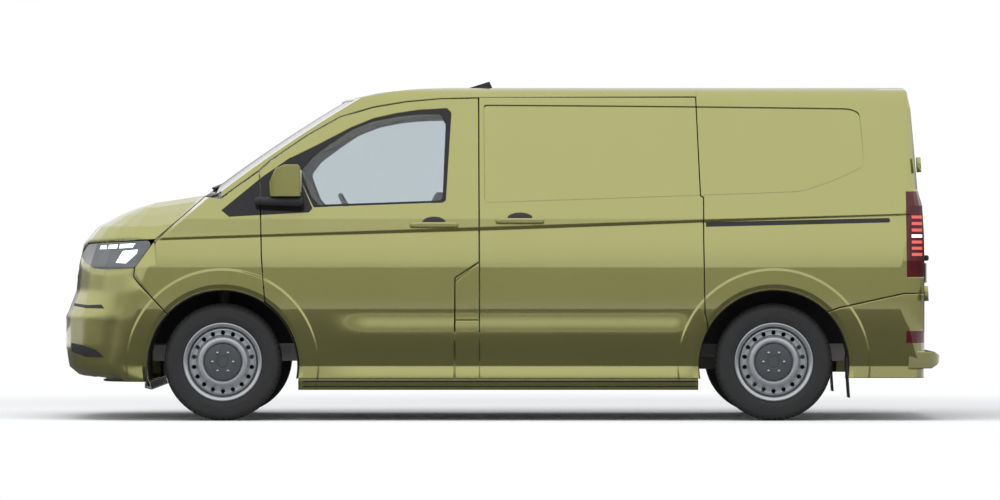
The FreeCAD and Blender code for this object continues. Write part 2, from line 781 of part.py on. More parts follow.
def under_lamps():
    """The headlamps and all that lies under them, which the bonnet keeps clear of."""
    low = up(0.3)
    line = [(AHEAD, low), (AHEAD, LAMP[0][1])] + LAMP[:4] + [(LAMP[3][0], low)]
    inner = out(LAMP_INNER_SHARE) - S.panel_gap
    return both_sides(across(line, (inner, FAR), -S.panel_gap))


WING_INNER_SHARE = 0.62


def fenders():
    """Front wings from the bumper and lamp to the cab door."""
    line = [(nose_x(HOOD_REAR_SHARE), up(0.6681)), LAMP[2], LAMP[3]]
    line += BUMPER_SEAM[1:] + [(FRONT_AXLE, S.arch_height)] + DOOR_FRONT + DOOR_TOP[:1]
    line.append(PILLAR_FOOT)
    wing = SKIN.common(across(line, (out(WING_INNER_SHARE), FAR))).cut(arch(FRONT_AXLE, S.arch_radius))
    return both_sides(wing.cut(lamp_region(-HALF_GAP)).cut(cowl_region(-S.seat_gap)))


node("bonnet", bonnet())
node("fenders", fenders())
node("headlamps", WALL.common(lamp_region(0)))


BUMPER_TOP_SHARE = 0.44


def bumper_outline(gap):
    seam = [(AHEAD, up(BUMPER_TOP_SHARE))] + [LAMP[3]] + BUMPER_SEAM[1:]
    return across(seam + [(FRONT_AXLE, S.arch_height), (FRONT_AXLE, 0), (AHEAD, 0)], ACROSS, gap)


INTAKE_SHARES = (0.55, 0.2000, 0.3100)


def slot(shares, gap, radius):
    """A wide opening in the front, seen from ahead."""
    y, z0, z1 = out(shares[0]), up(shares[1]), up(shares[2])
    wire = rounded_wire([(-y, z0), (y, z0), (y, z1), (-y, z1)], radius, lambda p: V(AHEAD, p.x, p.y))
    if gap:
        wire = wire.makeOffset2D(-gap)
    return Part.Face(wire).extrude(V(S.front_overhang / 2, 0, 0))


def front_bumper():
    low = BUMPER_TOP_SHARE - 0.02
    brow = [(AHEAD, up(low)), (AHEAD, LAMP[0][1]), LAMP[0]] + LAMP[:3:-1] + [(LAMP[4][0], up(low))]
    brows = both_sides(across(brow, (out(LAMP_INNER_SHARE) + S.panel_gap, FAR), 0))
    bumper = WALL.common(bumper_outline(HALF_GAP).fuse(brows)).cut(arch(FRONT_AXLE, S.arch_radius))
    bumper = bumper.cut(lamp_region(-S.seat_gap))
    return bumper.cut(slot(INTAKE_SHARES, 0, S.wall))


node("front_bumper", front_bumper())


GRILLE_WALL = between("glass_in", "skin")


def grille():
    """Slats across the intake and the slot under the bonnet, on a thin backing rim."""
    bars = []
    y, z0, z1 = out(INTAKE_SHARES[0]), up(INTAKE_SHARES[1]), up(INTAKE_SHARES[2])
    count = 4
    pitch = (z1 - z0) / count
    for i in range(count):
        z = z0 + pitch * i
        bars.append(box(AHEAD, nose_x(0.8), -y, y, z + pitch / 3, z + pitch * 2 / 3))
    for side in (-1, 0, 1):
        bars.append(box(AHEAD, nose_x(0.8), side * y / 2 - S.trim, side * y / 2 + S.trim, z0, z1))
    slats = GRILLE_WALL.common(bars[0].multiFuse(bars[1:]))
    return slats.common(slot(INTAKE_SHARES, S.seat_gap, S.wall))


node("grille", grille())


TAIL_LOW_SHARE = 0.127
STEP_SIDE_SHARE = 0.96
STEP_PROFILE_SHARES = ((0.86, 0.155), (1.01, 0.155), (1.05, 0.166), (1.0695, 0.178), (1.0695, 0.192), (1.03, 0.205),
                       (0.86, 0.205))


def rear_bumper():
    """Corner pieces under the side seams and a step along the foot of the rear doors."""
    corner = WALL.common(across(rear_seam(False), ACROSS, HALF_GAP)).cut(arch(REAR_AXLE, S.arch_radius))
    corner = corner.cut(rear_opening(-HALF_GAP)).cut(box(REAR_AXLE, BEHIND, -FAR, FAR, 0, up(TAIL_LOW_SHARE)))
    z0, z1 = up(STEP_SHARES[0]), up(STEP_SHARES[1])
    profile = points_of(STEP_PROFILE_SHARES, tail_x)
    x0, x1 = profile[0][0], max(x for x, _ in profile)
    y = out(STEP_SIDE_SHARE)
    round_off = S.tail_corner_depth
    step = plan_prism([(x0, -y), (x1, -y), (x1, y), (x0, y)], z0, z1, [0, round_off, round_off, 0])
    step = step.common(side_prism(profile, -FAR, FAR))
    return corner.cut(box(FRONT_AXLE, BEHIND, -out(UNDER_SHARES[0]), out(UNDER_SHARES[0]), 0, z0)).fuse(step)


node("rear_bumper", rear_bumper())


FIREWALL_SHARE = 0.03
FIREWALL_TOP_SHARE = 0.625
REAR_FLOOR_SHARES = (0.85, 0.83)
SILL_BOX_SHARES = (0.80, 0.90)


def sill_span(z0, z1):
    x0 = FRONT_AXLE + S.arch_radius
    x1 = REAR_AXLE - S.arch_radius
    return box(x0, x1, -FAR, FAR, z0, z1)


def sills():
    """Rockers under the doors, with the box that the doors close against."""
    strip = WALL.common(sill_span(0, S.door_bottom - HALF_GAP))
    strip = strip.cut(under_body())
    inner = box(FRONT_AXLE + S.arch_radius, REAR_AXLE - S.arch_radius, out(SILL_BOX_SHARES[0]),
                out(SILL_BOX_SHARES[1]), S.sill_bottom, S.floor_height)
    return strip.fuse(both_sides(inner))


PILLAR_SHARES = (0.440, 0.480)


PILLAR_SEAM_SHARE = 0.4665
STRIKER_SHARES = (0.452, 0.462, 0.487, 0.518)
FOOT_SHARES = (0.86, 0.93)


def pillars():
    """Pillars behind the cab doors, with the strikers that hold the doors."""
    x0, x1 = cab_x(PILLAR_SHARES[0]), cab_x(PILLAR_SHARES[1])
    seam = cab_x(PILLAR_SEAM_SHARE)
    low = S.floor_height + S.seat_gap
    post = FRAME.common(box(x0, seam, -FAR, FAR, low, up(1)))
    rear = SEAL.common(box(seam, x1, -FAR, FAR, low, up(1)))
    under_flap = SEAL.common(box(JOG[0] + S.panel_gap, seam, -FAR, 0, low, FLAP_LOW))
    pieces = [rear, under_flap]
    z0, z1 = up(STRIKER_SHARES[2]), up(STRIKER_SHARES[3])
    pieces.append(SEAL.common(box(cab_x(STRIKER_SHARES[0]), cab_x(STRIKER_SHARES[1]), -FAR, FAR, z0, z1)))
    foot = box(x0, x1, out(FOOT_SHARES[0]), out(FOOT_SHARES[1]), low, low + S.column)
    pieces.append(both_sides(foot).common(FORMS["frame"]))
    roof = box(x0 - S.wall, x1, -out(0.70), out(0.70), up(0.9), up(1))
    return post.multiFuse(pieces).cut(roof).cut(above_doors(HALF_GAP - S.seat_gap))


JOG = LEFT_JOG[1]
FLAP_TOP = LEFT_JOG[0][1]
FLAP_LOW = up(0.299)
FLAP_CORNER = (JOG[0], up(0.4120))


def filler_outline(low, top_points):
    return [(JOG[0], low)] + top_points + [(SLIDE_FRONT[1][0], low)]


def filler_flap():
    points = [FLAP_CORNER, LEFT_JOG[0], (SLIDE_FRONT[1][0], FLAP_TOP), (SLIDE_FRONT[1][0], FLAP_LOW)]
    return between("outside", "glass_in").common(across([(JOG[0], FLAP_LOW)] + points, LEFT))


def filler_panel():
    """The fixed panel between the cab door and the sliding door, with the recess wall behind the flap."""
    x = SLIDE_FRONT[1][0]
    left = [(JOG[0], S.door_bottom), (JOG[0], FLAP_LOW), (x, FLAP_LOW), (x, S.door_bottom)]
    wedge = WALL.common(across([FLAP_CORNER, JOG, LEFT_JOG[0]], LEFT))
    panel = WALL.common(across(left, LEFT)).fuse(wedge)
    points = [(JOG[0], FLAP_LOW - S.wall), JOG, LEFT_JOG[0], (x, FLAP_TOP), (x, FLAP_LOW - S.wall)]
    behind = FORMS["glass_in"].copy()
    behind.translate(V(0, S.seat_gap, 0))
    behind = behind.cut(FORMS["wall"]).common(across(points, LEFT))
    return panel.fuse(behind)


node("filler_flap", filler_flap())
node("filler_panel", filler_panel())
node("pillars", pillars())


def floor():
    """Load floor with its wheel boxes cut out, cab floor, firewall and chassis rails."""
    y = out(SILL_BOX_SHARES[0]) - S.seat_gap
    x0, x1 = cab_x(PILLAR_SHARES[0]), tail_x(REAR_FLOOR_SHARES[0])
    z = S.floor_height
    load = box(x0, x1, -y, y, z - S.floor_sheet, z)
    side = out(REAR_FLOOR_SHARES[1])
    wide = box(REAR_AXLE + S.arch_radius + S.wall, tail_x(1), -side, side, z - S.floor_sheet, z)
    wide = wide.common(FORMS["seal"])
    low = S.cab_floor_height
    front = cab_x(FIREWALL_SHARE)
    cab = box(front, x0, -y, y, low - S.floor_sheet, low)
    riser = box(x0, x0 + S.floor_sheet, -y, y, low - S.floor_sheet, z)
    wall = box(front - S.floor_sheet, front, -y, y, low - S.floor_sheet, up(FIREWALL_TOP_SHARE))
    inner = S.rear_well - S.liner - S.run_gap
    cover = box(S.bulkhead_place + S.bulkhead_sheet + S.cover_margin, x1 - S.cover_margin, -inner, inner,
                z - S.floor_sheet, z + S.floor_cover)
    pieces = [wide, cab, riser, wall, cover]
    rail_x0, rail_x1 = nose_x(0.62), tail_x(0.82)
    for side in (-1, 1):
        mid = side * S.rail_apart / 2
        pieces.append(box(rail_x0, rail_x1, mid - S.rail_width / 2, mid + S.rail_width / 2,
                          low - S.floor_sheet - S.rail_height, low - S.floor_sheet))
        pieces.append(box(x0, rail_x1, mid - S.rail_width / 2, mid + S.rail_width / 2,
                          low - S.floor_sheet, z - S.floor_sheet))
    whole = load.multiFuse(pieces)
    whole = whole.cut(both_sides(wheel_box(REAR_AXLE, S.rear_well, S.seat_gap)))
    return whole.cut(both_sides(wheel_box(FRONT_AXLE, S.front_well, S.seat_gap)))


def wheel_box(axle, well, gap):
    """The room taken by one wheel's arch, on the right."""
    radius = S.arch_radius - S.seat_gap + gap
    return Part.makeCylinder(radius, FAR, V(axle, well - gap, S.arch_height), V(0, 1, 0))


LINER_LOW_SHARE = 0.125


def liner(axle, well, open_to):
    """One wheel arch liner: a half drum with its inner wall down to a height, on the right."""
    radius = S.arch_radius - S.seat_gap
    width = FAR - well
    drum = Part.makeCylinder(radius, width, V(axle, well, S.arch_height), V(0, 1, 0))
    room = Part.makeCylinder(radius - S.liner, width, V(axle, well + S.liner, S.arch_height), V(0, 1, 0))
    drum = drum.cut(room).cut(box(axle - 2 * radius, axle + 2 * radius, 0, FAR, -2 * radius, up(LINER_LOW_SHARE)))
    clear = radius - 2 * S.liner
    drum = drum.common(FORMS["trim"])
    return drum.cut(box(axle - clear, axle + clear, well - S.liner, well + 2 * S.liner, 0, open_to))


SCUTTLE_SHARE = 0.90
POST_SHARES = (0.040, 0.0655)
HINGE_SHARES = ((0.40, 0.44), (0.56, 0.60))


def front_structure():
    """Scuttle under the cowl, rails under the bonnet's side seams and posts that carry the cab doors."""
    scuttle = UNDER.common(cab_strip(COWL_FRONT - S.wall, SCREEN_BASE + S.wall, out(SCUTTLE_SHARE)))
    rear, front = (nose_x(HOOD_REAR_SHARE), up(0.6681)), LAMP[2]
    line = [(rear[0] + S.wall, rear[1] + S.wall), (front[0], front[1] + S.wall), (front[0], front[1] - S.wall),
            (rear[0] + S.wall, rear[1] - S.wall)]
    sides = (out(0.5), FAR)
    seam_rails = UNDER.common(both_sides(across(line, sides, 0)))
    x0, x1 = cab_x(POST_SHARES[0]), cab_x(POST_SHARES[1])
    room = box(x0, x1, out(SCUTTLE_SHARE) - S.wall, FAR, S.arch_height, up(0.75))
    posts = POST.common(both_sides(room))
    leaves = []
    for low, high in HINGE_SHARES:
        leaves.append(box(x1 - S.trim, x1 + S.column, out(0.5), FAR, up(low), up(high)))
    hinges = SEAL.common(both_sides(Part.makeCompound(leaves)))
    whole = scuttle.multiFuse([seam_rails, posts, hinges])
    whole = whole.cut(lamp_region(-S.seat_gap)).cut(above_doors(HALF_GAP - S.seat_gap)).cut(screen_region(-S.seat_gap))
    return whole.cut(both_sides(wheel_box(FRONT_AXLE, S.front_well, S.seat_gap)))


node("sills", sills())
node("floor", floor())
node("front_structure", front_structure())
front_liner = liner(FRONT_AXLE, S.front_well, S.cab_floor_height)
rear_liner = liner(REAR_AXLE, S.rear_well, S.cab_floor_height)
node("arch_liners", both_sides(Part.makeCompound([front_liner, rear_liner])))


def bulkhead():
    """The steel wall between the cab and the load space."""
    x = S.bulkhead_place
    slab = box(x, x + S.bulkhead_sheet, -FAR, FAR, S.floor_height + S.seat_gap, S.roof_height)
    return slab.common(FORMS["frame_inside"])


node("bulkhead", bulkhead())


def cowl():
    """The black strip between the bonnet and the windscreen."""
    return cowl_region(S.seat_gap).common(FORMS["trim"]).cut(FORMS["skin"])


node("cowl", cowl())


DASH_SHARES = ((0, 0.405), (0.5, 0.38), (1, 0.50), (1, 0.585), (0.76, 0.635), (0, 0.66))
DASH_WIDTH_SHARE = 0.84


def dashboard():
    """The dash across the cab, from the firewall to over the footwell."""
    x0 = cab_x(FIREWALL_SHARE) + S.seat_gap
    profile = [(x0 + a * S.dash_depth, up(b)) for a, b in DASH_SHARES]
    wide = out(DASH_WIDTH_SHARE)
    return side_prism(profile, -wide, wide, S.trim * 4)


node("dashboard", dashboard())


def seat(middle, width):
    """A seat's plinth, cushion and backrest."""
    x = -S.seat_place
    z = S.seat_height
    base = box(x - S.seat_length * 0.7, x + S.cushion / 2, middle - width * 0.4, middle + width * 0.4,
               S.cab_floor_height + S.seat_gap, z - S.cushion / 2)
    cushion = side_prism([(x - S.seat_length, z - S.cushion), (x, z - S.cushion), (x, z), (x - S.seat_length, z)],
                         middle - width / 2, middle + width / 2, S.cushion / 3)
    lean = S.cushion * 1.4
    back = [(x - S.cushion / 2, z - S.cushion / 3), (x + S.cushion / 2, z - S.cushion / 3),
            (x + S.cushion / 2 + lean, z + S.backrest_height), (x + lean, z + S.backrest_height)]
    back = side_prism(back, middle - width * 0.46, middle + width * 0.46, S.cushion / 6)
    return base.multiFuse([cushion, back])


node("driver_seat", seat(-S.driver_place, S.seat_width))
node("passenger_seat", seat(S.driver_place - S.seat_width / 4, S.seat_width * 1.75))


WHEEL_PLACE_SHARES = (0.238, 0.585)


def column_frame():
    """The middle of the steering wheel and the way the column points, up to the driver."""
    tilt = math.radians(S.column_tilt)
    way = V(math.cos(tilt), 0, math.sin(tilt))
    return V(cab_x(WHEEL_PLACE_SHARES[0]), -S.driver_place, up(WHEEL_PLACE_SHARES[1])), way


RING_SIDES = 8


def ring_of(radius, thickness):
    """A ring about the upright axis with an eight-sided section."""
    turn = math.pi / RING_SIDES
    points = []
    for k in range(RING_SIDES):
        angle = (2 * k + 1) * turn
        points.append(V(radius + thickness * math.cos(angle), 0, thickness * math.sin(angle)))
    return Part.Face(Part.makePolygon(points + points[:1])).revolve(V(0, 0, 0), V(0, 0, 1), 360)


def steering_wheel():
    centre, way = column_frame()
    ring = ring_of(S.wheel_ring / 2, S.ring_thickness / 2)
    ring.Placement = FreeCAD.Placement(centre, FreeCAD.Rotation(V(0, 0, 1), way))
    hub = Part.makeCylinder(S.wheel_ring * 0.17, S.ring_thickness, centre - way * S.ring_thickness, way)
    spoke = box(-S.wheel_ring / 2, S.wheel_ring / 2, -S.ring_thickness / 2, S.ring_thickness / 2,
                -S.ring_thickness / 4, S.ring_thickness / 4)
    turn = FreeCAD.Rotation(V(0, 0, 1), way)
    spoke.rotate(V(0, 0, 0), V(0, 0, 1), 90)
    spoke.Placement = FreeCAD.Placement(centre, turn).multiply(spoke.Placement)
    reach = (centre.x - cab_x(FIREWALL_SHARE) - S.dash_depth - 2 * S.seat_gap - S.column / 2 * way.z) / way.x
    shaft = Part.makeCylinder(S.column / 2, reach, centre - way * reach, way)
    return ring.multiFuse([hub, spoke, shaft])


node("steering_wheel", steering_wheel())


# A mirror head's outline seen from the side, as shares of its depth and height, and its arm's reach
MIRROR_SHARES = ((0, 0), (0.03, 0.45), (0.22, 0.88), (0.50, 1.0), (0.90, 1.0), (1.0, 0.88), (1.0, 0))
MIRROR_PLACE_SHARES = (0.0845, 0.668)
MIRROR_ARM_SHARES = (0.25, 0.40, 0.30)


def mirror(side):
    """A door mirror: a rounded shell on a short arm."""
    x, z = cab_x(MIRROR_PLACE_SHARES[0]), up(MIRROR_PLACE_SHARES[1])
    y = side_y(z)
    stand_off, arm_reach, arm_height = MIRROR_ARM_SHARES
    arm = box(x, x + S.mirror_depth, y - S.trim, y + S.mirror_reach * arm_reach, z - S.mirror_height * arm_height, z)
    y0 = y + S.mirror_reach * stand_off
    y1 = y0 + S.mirror_reach
    head = plan_prism([(x, y0), (x + S.mirror_depth, y0), (x + S.mirror_depth, y1), (x, y1)],
                      z - S.trim, z + S.mirror_height, [S.wall / 2, S.wall / 2, S.wall / 2, 2 * S.wall])
    outline = [(x + a * S.mirror_depth, z + b * S.mirror_height) for a, b in MIRROR_SHARES]
    head = head.common(side_prism([(x, z - S.trim)] + outline[1:-1] + [(x + S.mirror_depth, z - S.trim)], 0, FAR))
    whole = arm.fuse(head).cut(FORMS["outside"])
    return whole if side > 0 else mirrored(whole)


node("mirror_left", mirror(-1))
node("mirror_right", mirror(1))


def turned(points, middle, side):
    """A solid turned about a wheel's axle from (offset, radius) points, outwards being positive."""
    outline = [V(0, side * a, r) for a, r in points]
    face = Part.Face(Part.makePolygon(outline + outline[:1]))
    solid = face.revolve(V(0, 0, 0), V(0, 1, 0), 360)
    solid.translate(middle)
    return solid


TYRE_SHARES = ((-0.50, 0.627), (-0.50, 0.95), (-0.44, 1.0), (0.44, 1.0), (0.50, 0.95), (0.50, 0.627))
# Offset and radius of the pressed wheel, as shares of the tyre's width and of the rim's radius:
# barrel, outer flange, well, dish, raised nut ring and centre.
RIM_SHARES = ((-0.44, 0.935), (0.505, 0.935), (0.505, 1.0), (0.54, 1.0), (0.54, 0.90), (0.30, 0.86), (0.30, 0.66),
              (0.38, 0.60), (0.38, 0.49), (0.30, 0.49), (0.30, 0.0), (0.22, 0.0), (0.22, 0.86), (-0.44, 0.86))
DISC_FACE_SHARE = 0.22


def wheel_middle(axle, side):
    return V(axle, side * S.track / 2, S.hub_height)


def tyre(axle, side):
    points = [(a * S.tyre_width, r * S.hub_height) for a, r in TYRE_SHARES]
    return turned(points, wheel_middle(axle, side), side)


def rim(axle, side):
    """A pressed steel wheel: barrel, dish and raised nut ring."""
    radius = S.rim_diameter / 2
    points = [(a * S.tyre_width, r * radius) for a, r in RIM_SHARES]
    return turned(points, wheel_middle(axle, side), side)


def hub_pieces(axle, side):
    """Brake disc, caliper and hub behind the wheel's face."""
    middle = wheel_middle(axle, side)
    face = DISC_FACE_SHARE * S.tyre_width - S.seat_gap
    bell = [(face - S.hub / 2, 0), (face, 0), (face, S.hub / 2), (face - S.disc_thickness, S.hub / 2),
            (face - S.disc_thickness, S.disc / 2), (face - 2 * S.disc_thickness, S.disc / 2),
            (face - 2 * S.disc_thickness, S.hub / 2), (face - S.hub / 2 - S.disc_thickness, S.hub / 2),
            (face - S.hub / 2 - S.disc_thickness, 0)]
    bell = [p for i, p in enumerate(bell) if i]
    return turned(bell, middle, side), middle, face


def knuckle(side):
    """The steered knuckle: disc, upright and steering arm."""
    bell, middle, face = hub_pieces(FRONT_AXLE, side)
    y = side * S.kingpin
    half = S.column
    low = S.hub_height - S.hub * 0.85
    top = S.hub_height + S.hub * 0.85
    upright = box(middle.x - half, middle.x + half, min(y - half / 2, y + half / 2), max(y - half / 2, y + half / 2),
                  low, top)
    arm = box(middle.x, middle.x + S.hub, min(y - half / 2, y + half / 2), max(y - half / 2, y + half / 2),
              S.hub_height - half, S.hub_height - half / 2)
    stub = Part.makeCylinder(half, middle.y * side - S.kingpin, V(middle.x, y, S.hub_height), V(0, side, 0))
    return bell.multiFuse([upright, arm, stub])


for place, axle in (("front", FRONT_AXLE), ("rear", REAR_AXLE)):
    for name, side in (("left", -1), ("right", 1)):
        node("tyre_%s_%s" % (place, name), tyre(axle, side))
        node("rim_%s_%s" % (place, name), rim(axle, side))
for name, side in (("left", -1), ("right", 1)):
    node("knuckle_" + name, knuckle(side))


def rear_axle():
    """Twist beam with trailing arms, discs and stub axles."""
    pieces = []
    beam_x = REAR_AXLE - S.spring * 1.6
    rail_low = S.cab_floor_height - S.floor_sheet - S.rail_height
    beam_z = rail_low - S.run_gap - S.axle_tube / 2
    half = S.kingpin - S.tyre_width
    beam = Part.makeCylinder(S.axle_tube / 2, 2 * half, V(beam_x, -half, beam_z), V(0, 1, 0))
    for side in (-1, 1):
        bell, middle, face = hub_pieces(REAR_AXLE, side)
        inner = S.kingpin - S.tyre_width
        arm = box(beam_x - S.tank_width, REAR_AXLE + S.axle_tube / 2, inner - S.column, inner,
                  S.hub_height - S.axle_tube / 2, S.hub_height + S.axle_tube / 4)
        stub = Part.makeCylinder(S.axle_tube / 3, middle.y * side - inner + S.column,
                                 V(REAR_AXLE, side * (inner - S.column), S.hub_height), V(0, side, 0))
        rail_side = (S.rail_apart + S.rail_width) / 2
        spring = Part.makeCylinder(S.spring / 2, S.floor_height - S.floor_sheet - beam_z - S.seat_gap,
                                   V(beam_x, side * (rail_side + S.run_gap + S.spring / 2), beam_z), V(0, 0, 1))
        pin = Part.makeCylinder(S.pipe / 2, inner - rail_side - S.seat_gap,
                                V(beam_x - S.tank_width + S.pipe / 2, side * (rail_side + S.seat_gap),
                                  rail_low + S.pipe / 2), V(0, side, 0))
        pieces += [bell, arm if side > 0 else mirrored(arm), stub, spring, pin]
    return beam.multiFuse(pieces)


node("rear_axle", rear_axle())


def front_suspension():
    """Cross member, lower arms and struts."""
    x = FRONT_AXLE
    low = S.hub_height - S.hub * 0.85 - S.run_gap
    y = S.rail_apart / 2
    member = box(x - S.spring, x + S.spring, -y, y, low - S.column, low)
    pieces = []
    rail_low = S.cab_floor_height - S.floor_sheet - S.rail_height
    for side in (-1, 1):
        half = S.rail_width / 2
        arm = box(x - half, x + half, y, S.kingpin + S.column / 2, low - S.disc_thickness, low)
        post = box(x - S.column, x + S.column, y - half, y + half, low, rail_low - S.seat_gap)
        top = S.arch_height + S.arch_radius - S.seat_gap - S.liner - S.run_gap
        strut = Part.makeCylinder(S.strut / 2, top - low, V(x, S.kingpin - S.strut_place, low), V(0, 0, 1))
        ball = Part.makeCylinder(S.bolt, S.run_gap - S.seat_gap, V(x, S.kingpin, low), V(0, 0, 1))
        both = [arm, post, strut, ball]
        pieces += both if side > 0 else [mirrored(p) for p in both]
    return member.multiFuse(pieces)


node("front_suspension", front_suspension())


def block(name, cells, place):
    """A plain block whose sizes are bound to the sheet."""
    item = doc.addObject("Part::Box", name)
    for prop, cell in zip(("Length", "Width", "Height"), cells):
        item.setExpression(prop, "sizes." + cell)
    item.Placement = FreeCAD.Placement(place, FreeCAD.Rotation())
    item.Label = name
    NODES.append(item)
    return item


block("engine", ("engine_length", "engine_width", "engine_height"),
      V(FRONT_AXLE - S.engine_length - S.engine_place, -S.engine_width / 2,
        S.cab_floor_height - S.floor_sheet + S.seat_gap))
block("fuel_tank", ("tank_length", "tank_width", "tank_height"),
      V(cab_x(0.30), -S.rail_apart / 2 - S.rail_width / 2 - S.tank_width + S.rail_width * 2,
        S.cab_floor_height - S.floor_sheet - S.rail_height - S.tank_height - S.seat_gap))


def antenna():
    x = cab_x(0.4700)
    profile = [(x - S.antenna_height * 2.5, S.roof_height - S.trim), (x + S.antenna_height * 1.5, S.roof_height - S.trim),
               (x + S.antenna_height, S.roof_height + S.antenna_height)]
    fin = side_prism(profile, -S.antenna_height / 3, S.antenna_height / 3, S.trim)
    return fin.cut(FORMS["outside"])


node("antenna", antenna())


def write_parts():
    os.makedirs("parts", exist_ok=True)
    doc.recompute()
    for item in doc.Objects:
        bad = [state for state in item.State if state in ("Invalid", "Error")]
        if bad:
            raise RuntimeError("%s is %s" % (item.Label, bad))
    for item in NODES:
        shape = item.Shape
        if shape.isNull() or not shape.isValid() or not shape.Solids:
            raise RuntimeError("%s has no valid shape" % item.Label)
        shape.exportStep("parts/%s.step" % item.Label)
        print(item.Label, len(shape.Solids), round(shape.Volume / 1e6, 2))


write_parts()
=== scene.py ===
# %% [markdown]
# # Dressing a panel van
#
# The van's solids come from a CAD model that has already been packed. This notebook loads them as a
# fixed frame, gives every panel a finish, and models what the solids leave out or only block in: tyre
# tread, pressed wheels, lit lamps, handles, trims, wipers, seats. All is in metres; the van stands on
# the ground at z = 0, faces -X, and its left side is at -Y.

# %% Load the frame
import json
import math
import bpy
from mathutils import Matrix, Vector


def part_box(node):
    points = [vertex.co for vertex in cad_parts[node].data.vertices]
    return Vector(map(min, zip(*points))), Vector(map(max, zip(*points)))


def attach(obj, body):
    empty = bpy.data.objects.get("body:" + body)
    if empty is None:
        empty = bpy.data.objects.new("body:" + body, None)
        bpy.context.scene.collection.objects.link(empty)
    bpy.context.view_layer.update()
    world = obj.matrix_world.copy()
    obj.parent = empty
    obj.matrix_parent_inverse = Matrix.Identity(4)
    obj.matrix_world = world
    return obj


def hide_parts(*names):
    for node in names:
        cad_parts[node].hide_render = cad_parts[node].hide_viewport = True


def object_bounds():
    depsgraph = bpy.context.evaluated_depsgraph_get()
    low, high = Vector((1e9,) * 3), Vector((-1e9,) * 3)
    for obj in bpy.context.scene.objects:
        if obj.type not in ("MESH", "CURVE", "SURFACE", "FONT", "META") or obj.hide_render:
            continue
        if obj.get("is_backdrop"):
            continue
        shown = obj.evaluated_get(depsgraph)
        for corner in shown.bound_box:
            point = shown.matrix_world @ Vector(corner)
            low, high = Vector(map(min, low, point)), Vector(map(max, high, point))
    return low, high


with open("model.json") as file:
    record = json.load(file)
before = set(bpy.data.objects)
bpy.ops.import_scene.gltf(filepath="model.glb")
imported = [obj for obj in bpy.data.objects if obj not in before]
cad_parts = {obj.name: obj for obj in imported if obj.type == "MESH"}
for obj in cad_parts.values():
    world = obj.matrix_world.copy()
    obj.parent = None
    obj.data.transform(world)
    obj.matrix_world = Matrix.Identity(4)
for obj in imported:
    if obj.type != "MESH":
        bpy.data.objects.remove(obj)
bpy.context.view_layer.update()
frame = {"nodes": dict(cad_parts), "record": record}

nodes = frame["nodes"]

# %% [markdown]
# ## Camera and world
#
# The view is square on to the left side from far away, so the lens is long. The camera looks level
# from about half the van's height, and a small shift sets the van at its height in the picture. The
# world is white to camera, glossy and transmission rays, which gives a clean studio background, and a
# plain, slightly cool light to all the others.

# %% Camera
CAMERA_PLACE = (0.005, -35.98, 0.915)
LENS = 224.2
PICTURE_SHIFT = 0.008
SIGHT = 500

camera = bpy.data.objects.new("camera", bpy.data.cameras.new("camera"))
bpy.context.scene.collection.objects.link(camera)
camera.location = CAMERA_PLACE
camera.rotation_euler = (math.radians(90), 0, 0)
camera.data.lens = LENS
camera.data.shift_y = PICTURE_SHIFT
camera.data.clip_end = SIGHT
bpy.context.scene.camera = camera
bpy.context.scene.view_settings.view_transform = "Standard"
print("camera", CAMERA_PLACE, "lens", LENS)

# %% Small sums with shader nodes
def sum_of(tree, operation, *values):
    """One math node; each value is a number or another node's output."""
    node = tree.nodes.new("ShaderNodeMath")
    node.operation = operation
    for socket, value in zip(node.inputs, values):
        if isinstance(value, (int, float)):
            socket.default_value = value
        else:
            tree.links.new(value, socket)
    return node.outputs[0]


def eased(tree, value, at_low, at_high, low=0, high=1):
    """Runs smoothly from low, where value is at_low, to high, where it is at_high."""
    node = tree.nodes.new("ShaderNodeMapRange")
    node.interpolation_type = "SMOOTHSTEP"
    rising = at_high > at_low
    node.inputs["From Min"].default_value = min(at_low, at_high)
    node.inputs["From Max"].default_value = max(at_low, at_high)
    node.inputs["To Min"].default_value = low if rising else high
    node.inputs["To Max"].default_value = high if rising else low
    tree.links.new(value, node.inputs["Value"])
    return node.outputs[0]


print("node helpers ready")

# %% World
SKY_TINT = (0.93, 0.96, 1.0, 1)
SKY_STRENGTH = 0.72

world = bpy.data.worlds.new("studio")
bpy.context.scene.world = world
world.use_nodes = True
tree = world.node_tree
tree.nodes.clear()
rays = tree.nodes.new("ShaderNodeLightPath").outputs
looked_at = sum_of(tree, "MAXIMUM", rays["Is Camera Ray"], rays["Is Glossy Ray"])
looked_at = sum_of(tree, "MAXIMUM", looked_at, rays["Is Transmission Ray"])
backdrop = tree.nodes.new("ShaderNodeBackground")
backdrop.inputs["Color"].default_value = (1, 1, 1, 1)
ambient = tree.nodes.new("ShaderNodeBackground")
ambient.inputs["Color"].default_value = SKY_TINT
ambient.inputs["Strength"].default_value = SKY_STRENGTH
choose = tree.nodes.new("ShaderNodeMixShader")
output = tree.nodes.new("ShaderNodeOutputWorld")
tree.links.new(looked_at, choose.inputs[0])
tree.links.new(ambient.outputs[0], choose.inputs[1])
tree.links.new(backdrop.outputs[0], choose.inputs[2])
tree.links.new(choose.outputs[0], output.inputs["Surface"])
print("world", SKY_STRENGTH)

# %% [markdown]
# ## Lamps and floor
#
# Two large soft lamps light the roof and the left side. They don't show in reflections, where their
# hard edges would look like stickers on the paint. Near the van the floor is matte and takes its
# shadow; further out it fades to pure white, so that no horizon shows.

